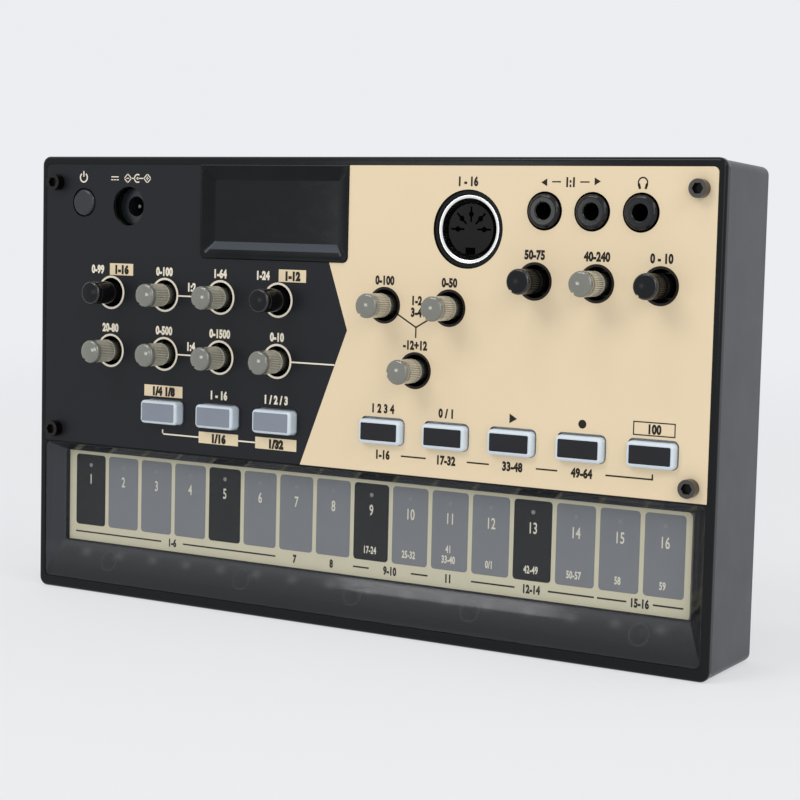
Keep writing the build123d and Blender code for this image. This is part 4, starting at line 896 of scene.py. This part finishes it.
class DRUM_OT_print(DrumPiece):
    """Prints the numbers, lines and symbols on the panel"""
    bl_idname = "drum.print"
    bl_label = "Panel print"
    thin = 0.26                 # width of the thin strokes
    pale_ring = (4.35, 3.82)    # outer and inner radius of the rings around the knobs
    dark_ring = (4.4, 3.8)

    # Numbers in rows: the row's height, then each text with its middle.
    pale_rows = (
        (UPPER_ROW, {"0-99": -77.0, "0-100": -55.1, "1-64": -37.5, "1-24": -24.4}),
        (24.6, {"1:2": -46.4}),
        (9.5, {"1:4": -46.4}),
        (LOWER_ROW, {"20-80": -72.6, "0-500": -55.0, "0-1500": -37.3, "0-10": -19.8}),
        (KEY_ROW, {"1 - 16": -37.4, "1 / 2 / 3": -19.8}))
    dark_rows = (
        (SOCKET_ROW, {"1 - 16": 33.0, "1:1": 59.35}),
        (DISPLAY_ROW, {"50-75": 50.9, "40-240": 66.5, "0 - 10": 82.1}),
        (UPPER_ROW, {"0-100": 11.1, "0-50": 28.8}),
        (23.8, {"1-2": 20.0}),
        (21.0, {"3-4": 20.0}),
        (LOWER_ROW, {"-12+12": 19.9}),
        (KEY_ROW, {"1 2 3 4": 11.3, "0 / 1": 28.9}),
        (STEP_ROW, {"1-16": 11.5, "17-32": 29.0, "33-48": 46.7, "49-64": 64.4}),
        (KEY_ROW + 0.1, {"100": 81.75}))

    # Texts in filled boxes: the box's left, right, low and high edge.
    boxed = {
        "1-16": (-73.0, -65.3, 26.85, 29.9), "1-12": (-19.6, -11.5, 26.85, 29.9),
        "1/4 1/8": (-61.1, -48.8, -3.94, -1.0), "1/16": (-43.4, -31.1, -14.9, -12.0),
        "1/32": (-25.8, -13.4, -14.9, -12.0)}

    # Lines that join knobs, keys and numbers, by their corners.
    pale_lines = (
        ((-50.4, 22.2), (-41.7, 22.2)), ((-50.4, 7.2), (-41.7, 7.2)), ((-15.2, 7.2), (-2.9, 7.2)),
        ((-55.0, STEP_ROW + 1), (-55.0, STEP_ROW), (-43.6, STEP_ROW)),
        ((-31.0, STEP_ROW), (-25.9, STEP_ROW)))
    dark_lines = (
        ((14.7, 20.4), (20.0, 17.4)), ((25.2, 20.4), (20.0, 17.4), (20.0, 15.1)),
        ((16.9, STEP_ROW), (23.4, STEP_ROW)), ((34.9, STEP_ROW), (40.4, STEP_ROW)),
        ((53.0, STEP_ROW), (58.1, STEP_ROW)),
        ((70.5, STEP_ROW), (81.7, STEP_ROW), (81.7, STEP_ROW + 1)))

    open_box = (76.8, 86.7, -3.75, -0.85)   # drawn box: its left, right, low and high edge

    def symbols_pale(self, bm, line):
        """Power symbol over the button, and the supply's signs over the power socket."""
        row = SOCKET_ROW
        power = (-82.1, row + 0.12)
        arc(bm, power, 1.35, 0.98, 40, 290, 125)
        stroke(bm, (power[0], power[1] + 0.4), (power[0], power[1] + 1.5), line)
        stroke(bm, (-72.7, row + 0.35), (-70.6, row + 0.35), self.thin)
        for left in (-72.75, -71.85, -70.95):
            stroke(bm, (left, row - 0.4), (left + 0.4, row - 0.4), self.thin)
        minus, plus, ring = -67.4, -61.0, -64.2
        reach = 1.15
        for middle in (minus, plus):
            path(bm, ((middle + reach, row), (middle, row + reach), (middle - reach, row),
                      (middle, row - reach), (middle + reach, row)), 0.24)
            stroke(bm, (middle - 0.35, row), (middle + 0.35, row), 0.22)
        stroke(bm, (plus, row - 0.35), (plus, row + 0.35), 0.22)
        arc(bm, (ring, row), reach, 0.85, 32, 250, 55)
        stroke(bm, (ring - 1.9, row), (ring - 1.1, row), self.thin)
        stroke(bm, (ring + 0.1, row), (ring + 1.9, row), self.thin)
        disc(bm, (ring, row), 0.32, 16)

    def symbols_dark(self, bm):
        """Plug arrows, headphones, play triangle and record dot."""
        row = SOCKET_ROW
        disc(bm, (53.0, row - 0.15), 1.0, 3, turn=90)
        disc(bm, (65.8, row + 0.15), 1.0, 3, turn=-90)
        stroke(bm, (54.9, row), (56.8, row), 0.3)
        stroke(bm, (61.9, row), (63.9, row), 0.3)
        phones = 77.0
        arc(bm, (phones, row), 1.25, 0.93, 24, 180)
        for side in (-1, 1):
            stroke(bm, (phones + side * 1.09, row), (phones + side * 1.04, row - 0.7), 0.3)
            stroke(bm, (phones + side * 0.92, row - 0.5), (phones + side * 0.74, row - 1.15), 0.56)
        disc(bm, (46.3, KEY_ROW), 1.3, 3, turn=-90)
        disc(bm, (64.2, KEY_ROW), 1.0, 32)

    def make(self, finish):
        line = sizes().line / MM
        height = sizes().label
        pale, dark, boxes = (bmesh.new() for _ in range(3))
        for node in KNOBS:
            place = place_of(node)
            if place[0] < 0:
                arc(pale, place, *self.pale_ring, 96)
            else:
                arc(dark, place, *self.dark_ring, 96)
        for bm, rows, lines in ((pale, self.pale_rows, self.pale_lines),
                                (dark, self.dark_rows, self.dark_lines)):
            for row, texts in rows:
                for text, middle in texts.items():
                    words(bm, text, (middle, row), height)
            for points in lines:
                path(bm, points, line)
        for text, (left, right, low, high) in self.boxed.items():
            bar(boxes, left, right, low, high)
            words(dark, text, ((left + right) / 2, (low + high) / 2), height, -2 * INK, -INK,
                  narrow=0.86, bold=0.08)
        left, right, low, high = self.open_box
        path(dark, ((left, low), (right, low), (right, high), (left, high), (left, low)), self.thin)
        self.symbols_pale(pale, line)
        self.symbols_dark(dark)
        for name, bm, material in (("print_pale", pale, "ink_pale"), ("print_dark", dark, "ink_dark"),
                                   ("print_boxes", boxes, "ink_box")):
            closed(bm)
            finished(name, bm, "case", finish[material])


class DRUM_OT_knobs(DrumPiece):
    """Makes the fourteen knobs"""
    bl_idname = "drum.knobs"
    bl_label = "Knobs"
    ring = 2.0              # depth behind the face at which the ribs start
    base = 7.3              # and end
    land = 0.2              # the ribs' smooth ends are this long, and the grooves this deep
    skirt = 4.7             # depth of the skirt's end behind the panel's face
    shaft = 1.5             # radius of the stub that holds the shaft
    notch = 0.55            # depth of the pointer's notch
    notch_half = 0.33       # half its width
    sleeve_in = 0.06        # the sleeve and the skirt are this much thinner than the cap
    skirt_in = 0.25
    crown_steps = 6         # steps from the middle of the face to its rounding
    rim_steps = 8           # steps around the rounding
    slack = 0.02            # allowed for when points are compared

    def outline(self, radius, tip, end):
        """Half section: domed face, rounded rim, ribbed sleeve, skirt and stub."""
        edge = sizes().cap_edge / MM
        dome = sizes().cap_dome / MM
        points = [((radius - edge) * step / self.crown_steps,
                   tip + dome * (step / self.crown_steps) ** 2)
                  for step in range(self.crown_steps + 1)]
        for step in range(1, self.rim_steps + 1):
            lean = math.radians(step * 90 / self.rim_steps)
            points.append((radius - edge * (1 - math.sin(lean)),
                           tip + dome + edge * (1 - math.cos(lean))))
        ring = tip + self.ring
        base = tip + self.base
        sleeve = radius - self.sleeve_in
        skirt = radius - self.skirt_in
        return points + [
            (radius, ring), (sleeve, ring + self.land / 2), (sleeve, ring + self.land),
            (sleeve, base - self.land), (sleeve, base - self.land / 2), (skirt, base),
            (skirt, self.skirt), (self.shaft, self.skirt), (self.shaft, end), (0.0, end)]

    def carve(self, bm, middle, radius, tip, pointer, steps):
        """Presses the grooves between the ribs and the pointer's notch into the turned cap."""
        groove = bm.verts.layers.float["groove"]
        ring = tip + self.ring
        first = ring + self.land - self.slack
        last = tip + self.base - self.land + self.slack
        for vert in bm.verts:
            offset = vert.co - middle
            out = math.hypot(offset.x, offset.z) / MM
            depth = offset.y / MM
            if out < 0.1:
                continue
            angle = math.atan2(offset.x, offset.z)
            part = round((angle % (2 * math.pi)) / (2 * math.pi) * steps) % 4
            scale = 1.0
            if first < depth < last and part < 2:
                scale = (out - self.land) / out
                vert[groove] = 1.0
            away = abs((angle - pointer + math.pi) % (2 * math.pi) - math.pi) * radius
            floor = radius - self.notch
            if depth < ring + self.slack and out > floor - self.slack and away < self.notch_half:
                scale = floor / out
            vert.co.x = middle.x + offset.x * scale
            vert.co.z = middle.z + offset.z * scale

    def make(self, finish):
        steps = sizes().ribs * 4
        for node in KNOBS:
            place = place_of(node)
            tip, end = depths_of(node)
            left, right = edges_of(node)[:2]
            radius = (right - left) / 2
            bm = bmesh.new()
            lathe(bm, place, self.outline(radius, tip, end), steps)
            closed(bm)
            bm.verts.layers.float.new("groove")
            if node not in ENDLESS_KNOBS:
                pointer = math.radians(TUNE_ANGLE if node == "knob_tune" else POINTER_ANGLE)
                self.carve(bm, spot(*place), radius, tip, pointer, steps)
            look = "knob_black" if node in BLACK_KNOBS else "knob_clear"
            finished(f"{node}_cap", bm, body_of(node), finish[look], (node,), sharp=38)


class DRUM_OT_keys(DrumPiece):
    """Makes the eight keys with their printed faces, and the power button"""
    bl_idname = "drum.keys"
    bl_label = "Keys"
    grey_half = (5.1, 2.3)      # half sizes of the printed faces, across and up
    black_half = (5.0, 2.08)
    corner = 0.3                # rounding of their corners

    def make(self, finish):
        for node in KEYS:
            dressed(node, finish["key"], 0.05 * MM)
            grey = "left" in node
            look = "key_grey" if grey else "key_black"
            wide, high = self.grey_half if grey else self.black_half
            across, up = place_of(node)
            front = depths_of(node)[0]
            bm = bmesh.new()
            tile(bm, across - wide, across + wide, up - high, up + high, self.corner,
                 front - INK, front + INK)
            closed(bm)
            finished(f"{node}_face", bm, body_of(node), finish[look])
        dressed("power_button", finish["inlet"], 0.1 * MM)


class DRUM_OT_sockets(DrumPiece):
    """Makes the power inlet, the DIN socket and the three mini jacks"""
    bl_idname = "drum.sockets"
    bl_label = "Sockets"
    shell_lip = 0.95        # width of the metal shell's front lip
    shell_wall = 0.55       # thickness of its wall

    def shell(self):
        """Turned metal shell of the DIN socket with a rounded lip."""
        front, back = depths_of("din_shield")
        left, right = edges_of("din_shield")[:2]
        radius = (right - left) / 2
        lip = radius - self.shell_lip
        wall = radius - self.shell_wall
        bm = bmesh.new()
        lathe(bm, place_of("din_shield"), [
            (radius, back), (radius, front + 0.2), (radius - 0.2, front), (lip + 0.3, front),
            (lip + 0.06, front + 0.1), (lip, front + 0.35), (wall, front + 1.3), (wall, back),
            (radius, back)], 128)
        closed(bm)
        return bm

    def make(self, finish):
        for node in JACKS:
            dressed(node, finish["jack"], 0.1 * MM)
        dressed("dc_jack", finish["inlet"], 0.15 * MM)
        dressed("din_housing", finish["insert"], 0.1 * MM)
        finished("din_shield_finish", self.shell(), "case", finish["chrome"],
                 ("din_shield",))
        dressed("din_insert", finish["insert"], 0.08 * MM)


class DRUM_OT_display(DrumPiece):
    """Makes the display's bezel and lens"""
    bl_idname = "drum.display"
    bl_label = "Display"

    def make(self, finish):
        dressed("display_bezel", finish["bezel"], 0.12 * MM, 3)
        dressed("display_window", finish["glass"], 0.05 * MM)


class DRUM_OT_strip(DrumPiece):
    """Makes the printed touch strip and the clear tray over it"""
    bl_idname = "drum.strip"
    bl_label = "Touch strip"
    ground = 0.08                   # the cream ground lies this far behind the node's front
    field_edges = (0.85, 19.85)     # the fields' upper and lower edge below the sheet's upper edge
    lamp_row = 3.65                 # and the rows below the same edge
    number_row = 7.3
    label_row = 17.2
    mark_row = 21.8
    field_gap = 1.12                # gap between two fields
    field_shift = 0.25              # the fields stand this far to the right in their steps
    field_corner = 0.9
    lamp_radius = 0.52
    label_height = 1.8
    label_pitch = 2.5               # distance between two lines of labels
    mark_height = 1.95
    mark_width = 0.4                # width of the lines under the fields
    floor_reach = 0.4               # the tray's clear floor reaches this far past the sheet
    floor_depths = (3.4, 4.9)       # and lies between these depths

    # Small labels in the fields: text, step, and lines above the lowest one.
    labels = (("17-24", 9, 0), ("25-32", 10, 0), ("33-40", 11, 0), ("41", 11, 1), ("0/1", 12, 0),
              ("42-49", 13, 0), ("50-57", 14, 0), ("58", 15, 0), ("59", 16, 0))

    # Lines under the fields by their ends, and the numbers between them by their middles.
    mark_lines = ((-87.6, -59.0), (-51.5, -22.6), (1.0, 5.2), (17.6, 21.9), (34.2, 45.5),
                  (54.6, 66.0), (67.2, 74.1), (81.0, 88.0))
    mark_texts = {"1-6": -55.2, "7": -16.6, "8": -5.6, "9-10": 11.4, "11": 27.7, "12-14": 50.0,
                  "15-16": 77.5}

    def sheet(self, finish):
        """Cream sheet with the steps' fields, lamps, numbers, labels and marks."""
        left, right, low, high = edges_of("step_print_sheet")
        front, back = depths_of("step_print_sheet")
        base = front + self.ground
        sheet = bmesh.new()
        bar(sheet, left, right, low, high, base, back)
        finished("strip_sheet", sheet, "case", finish["strip_cream"],
                 ("step_print_sheet",))
        grey, dark, lamps, pale, marks = (bmesh.new() for _ in range(5))
        lower = {"front": base - FILM, "back": base}
        upper = {"front": base - 2 * FILM, "back": base - FILM}
        field_high, field_low = (high - edge for edge in self.field_edges)
        pitch = step_pitch()
        half = (pitch - self.field_gap) / 2
        for step in range(STEPS):
            middle = left + STRIP_MARGIN + self.field_shift + pitch * (step + 0.5)
            tile(grey if step % 4 else dark, middle - half, middle + half, field_low, field_high,
                 self.field_corner, **lower)
            disc(lamps, (middle, high - self.lamp_row), self.lamp_radius, 24, **upper)
            words(pale, str(step + 1), (middle, high - self.number_row), sizes().step_label,
                  narrow=0.66, bold=0.014, **upper)
        for text, step, line in self.labels:
            place = (left + STRIP_MARGIN + pitch * (step - 0.5),
                     high - self.label_row + line * self.label_pitch)
            words(pale, text, place, self.label_height * MM, narrow=0.62, bold=0.03, **upper)
        row = high - self.mark_row
        for start, end in self.mark_lines:
            stroke(marks, (start, row), (end, row), self.mark_width, **lower)
        for text, middle in self.mark_texts.items():
            words(marks, text, (middle, row), self.mark_height * MM, narrow=0.72, **lower)
        for name, bm, material in (
                ("strip_fields_grey", grey, "strip_grey"), ("strip_fields_dark", dark, "strip_dark"),
                ("strip_lamps", lamps, "strip_lamp"), ("strip_numbers", pale, "strip_label"),
                ("strip_marks", marks, "ink_dark")):
            closed(bm)
            finished(name, bm, "case", finish[material])

    def tray(self, finish):
        """Tray whose floor over the sheet is clear and whose slopes are smoky."""
        left, right, low, high = edges_of("step_print_sheet")
        reach = self.floor_reach
        front, back = self.floor_depths
        bm = softened("step_tray", 0.1 * MM)
        for face in bm.faces:
            across, up, depth = middle_of(face)
            inside = left - reach < across < right + reach and low - reach < up < high + reach
            flat = front < depth < back and abs(face.normal.y) > 0.9
            face.material_index = 0 if inside and flat else 1
        finished("step_tray_finish", bm, "case", [finish["tray_clear"], finish["tray_smoke"]],
                 ("step_tray",))

    def make(self, finish):
        self.sheet(finish)
        self.tray(finish)


class DRUM_OT_fasteners(DrumPiece):
    """Makes the panel screws with painted shade in their sockets, and the case screws"""
    bl_idname = "drum.fasteners"
    bl_label = "Screws"
    head = 2.1              # radius of a panel screw's head
    socket = 1.3            # reach of its socket from the middle
    rim = 0.25              # the socket starts this far behind the head's face

    def make(self, finish):
        bm = softened("panel_screws", 0.22 * MM, 3)
        left, right, low, high = edges_of("panel_screws")
        tip = depths_of("panel_screws")[0]
        for face in bm.faces:
            across, up, depth = middle_of(face)
            aside = min(abs(across - side) for side in (left + self.head, right - self.head))
            above = min(abs(up - row) for row in (low + self.head, high - self.head))
            # Faces down in each head's socket get the black insert material: painted shade in the
            # recess.
            if math.hypot(aside, above) < self.socket and depth > tip + self.rim:
                face.material_index = 1
        finished("panel_screws_finish", bm, "case", [finish["screw_black"], finish["insert"]],
                 ("panel_screws",))
        dressed("case_screws", finish["screw_steel"], 0.2 * MM)


# ---------------------------------------------------------------- stage
class DRUM_OT_stage(bpy.types.Operator):
    """Sets the floor, the backdrop, the lamps and the camera"""
    bl_idname = "drum.stage"
    bl_label = "Stage"
    bl_options = {"REGISTER", "UNDO"}
    # Measures in metres.
    floor_radius = 6.0
    floor_drop = 0.00005    # the floor lies this far under the part
    fade = (0.1, 1.2)       # distances between which the paper fades into the backdrop
    fade_least = 0.6        # and the backdrop's share in it next to the part

    def floor(self, stage):
        """Pale paper that fades into the backdrop's colour with distance."""
        bm = bmesh.new()
        bmesh.ops.create_circle(bm, cap_ends=True, segments=96, radius=self.floor_radius,
                                matrix=Matrix.Translation((0, 0, -self.floor_drop)))
        mesh = bpy.data.meshes.new("floor")
        bm.to_mesh(mesh)
        bm.free()
        floor = bpy.data.objects.new("floor", mesh)
        bpy.context.scene.collection.objects.link(floor)
        finish = Finish("floor_paper")
        point = finish.node("TexCoord", output="Object")
        away = finish.node("VectorMath", {"operation": "LENGTH"}, {0: point}, output="Value")
        reach = finish.node("MapRange", {"interpolation_type": "SMOOTHSTEP"},
                            {"Value": away, "From Min": self.fade[0], "From Max": self.fade[1],
                             "To Min": self.fade_least})
        grain = finish.noise(1.2, 3.0)
        paper = finish.node("BsdfPrincipled", inputs={
            "Base Color": finish.drift(grain, stage.floor, 0.01), "Roughness": 0.75,
            "Specular IOR Level": 0.1})
        seen = finish.node("Emission", inputs={"Color": stage.backdrop, "Strength": 1.0})
        finish.close(finish.node("MixShader", inputs={0: reach, 1: paper, 2: seen}))
        mesh.materials.append(finish.material)

    def sky(self, stage):
        """Plain white light from all around, behind which the backdrop shows."""
        world = bpy.context.scene.world or bpy.data.worlds.new("sky")
        bpy.context.scene.world = world
        world.use_nodes = True
        nodes = Nodes(world.node_tree)
        camera, glossy, through = (nodes.node("LightPath", output=name) for name in (
            "Is Camera Ray", "Is Glossy Ray", "Is Transmission Ray"))
        lit = nodes.node("Background", inputs={"Color": (1, 1, 1), "Strength": stage.sky})
        seen = nodes.node("Background", inputs={"Color": stage.backdrop, "Strength": 1.0})
        shader = nodes.node("MixShader", inputs={0: camera | glossy | through, 1: lit, 2: seen})
        nodes.close(shader, "OutputWorld")

    def lamp(self, name, place, aim, size, power):
        """Rectangular lamp; place, aim and size are in metres."""
        light = bpy.data.lights.new(name, "AREA")
        light.shape = "RECTANGLE"
        light.size, light.size_y = size
        light.energy = power
        lamp = bpy.data.objects.new(name, light)
        bpy.context.scene.collection.objects.link(lamp)
        lamp.location = place
        lamp.rotation_euler = (Vector(aim) - Vector(place)).to_track_quat("-Z", "Y").to_euler()

    def camera(self, stage):
        data = bpy.data.cameras.new("camera")
        data.sensor_width = 36.0
        data.lens = stage.lens
        data.clip_start = 0.01
        camera = bpy.data.objects.new("camera", data)
        bpy.context.scene.collection.objects.link(camera)
        turn = Matrix.Rotation(stage.camera_turn, 4, "Z")
        tilt = Matrix.Rotation(stage.camera_tilt, 4, "X")
        roll = Matrix.Rotation(stage.camera_roll, 4, "Y")
        upright = Matrix.Rotation(math.radians(90), 4, "X")
        camera.matrix_world = Matrix.Translation(stage.camera_place) @ turn @ tilt @ roll @ upright
        bpy.context.scene.camera = camera

    def execute(self, context):
        stage = context.scene.drum_stage
        context.scene.view_settings.view_transform = "Standard"
        self.floor(stage)
        self.sky(stage)
        self.lamp("key_lamp", (-0.42, -0.98, 1.0), (0, 0, 0.05), (0.62, 0.5), stage.key_power)
        self.lamp("side_lamp", (1.0, -0.35, 0.85), (0, 0, 0.06), (0.5, 0.6), stage.side_power)
        self.lamp("fill_lamp", (0.85, -1.15, 0.4), (0, 0, 0.05), (0.9, 0.8), stage.fill_power)
        self.lamp("spark_lamp", (-0.6, -1.15, 0.09), (0, 0, 0.07), (0.2, 0.15), stage.spark_power)
        self.lamp("rim_lamp", (-0.05, -0.4, 1.2), (0, 0, 0.08), (0.24, 0.1), stage.rim_power)
        self.camera(stage)
        return {"FINISHED"}


PIECES = (DRUM_OT_inside, DRUM_OT_case, DRUM_OT_panel, DRUM_OT_print, DRUM_OT_knobs, DRUM_OT_keys,
          DRUM_OT_sockets, DRUM_OT_display, DRUM_OT_strip, DRUM_OT_fasteners, DRUM_OT_stage)


class DRUM_PT_panel(bpy.types.Panel):
    """Lists the drum machine's pieces and values"""
    bl_idname = "DRUM_PT_panel"
    bl_label = "Drum machine"
    bl_space_type = "VIEW_3D"
    bl_region_type = "UI"
    bl_category = "Drum machine"

    def draw(self, context):
        for piece in PIECES:
            self.layout.operator(piece.bl_idname)
        for group in (context.scene.drum_sizes, context.scene.drum_colours, context.scene.drum_stage):
            box = self.layout.box()
            for name in group.__annotations__:
                box.prop(group, name)


CLASSES = (DrumSizes, DrumColours, DrumStage, *PIECES, DRUM_PT_panel)


def register():
    for item in CLASSES:
        bpy.utils.register_class(item)
    bpy.types.Scene.drum_sizes = bpy.props.PointerProperty(type=DrumSizes)
    bpy.types.Scene.drum_colours = bpy.props.PointerProperty(type=DrumColours)
    bpy.types.Scene.drum_stage = bpy.props.PointerProperty(type=DrumStage)


def unregister():
    del bpy.types.Scene.drum_sizes
    del bpy.types.Scene.drum_colours
    del bpy.types.Scene.drum_stage
    for item in reversed(CLASSES):
        bpy.utils.unregister_class(item)


def corners(box):
    return [list(corner) for corner in box]


def main():
    register()
    for piece in PIECES:
        group, name = piece.bl_idname.split(".")
        getattr(getattr(bpy.ops, group), name)()


if __name__ == "__main__":
    main()
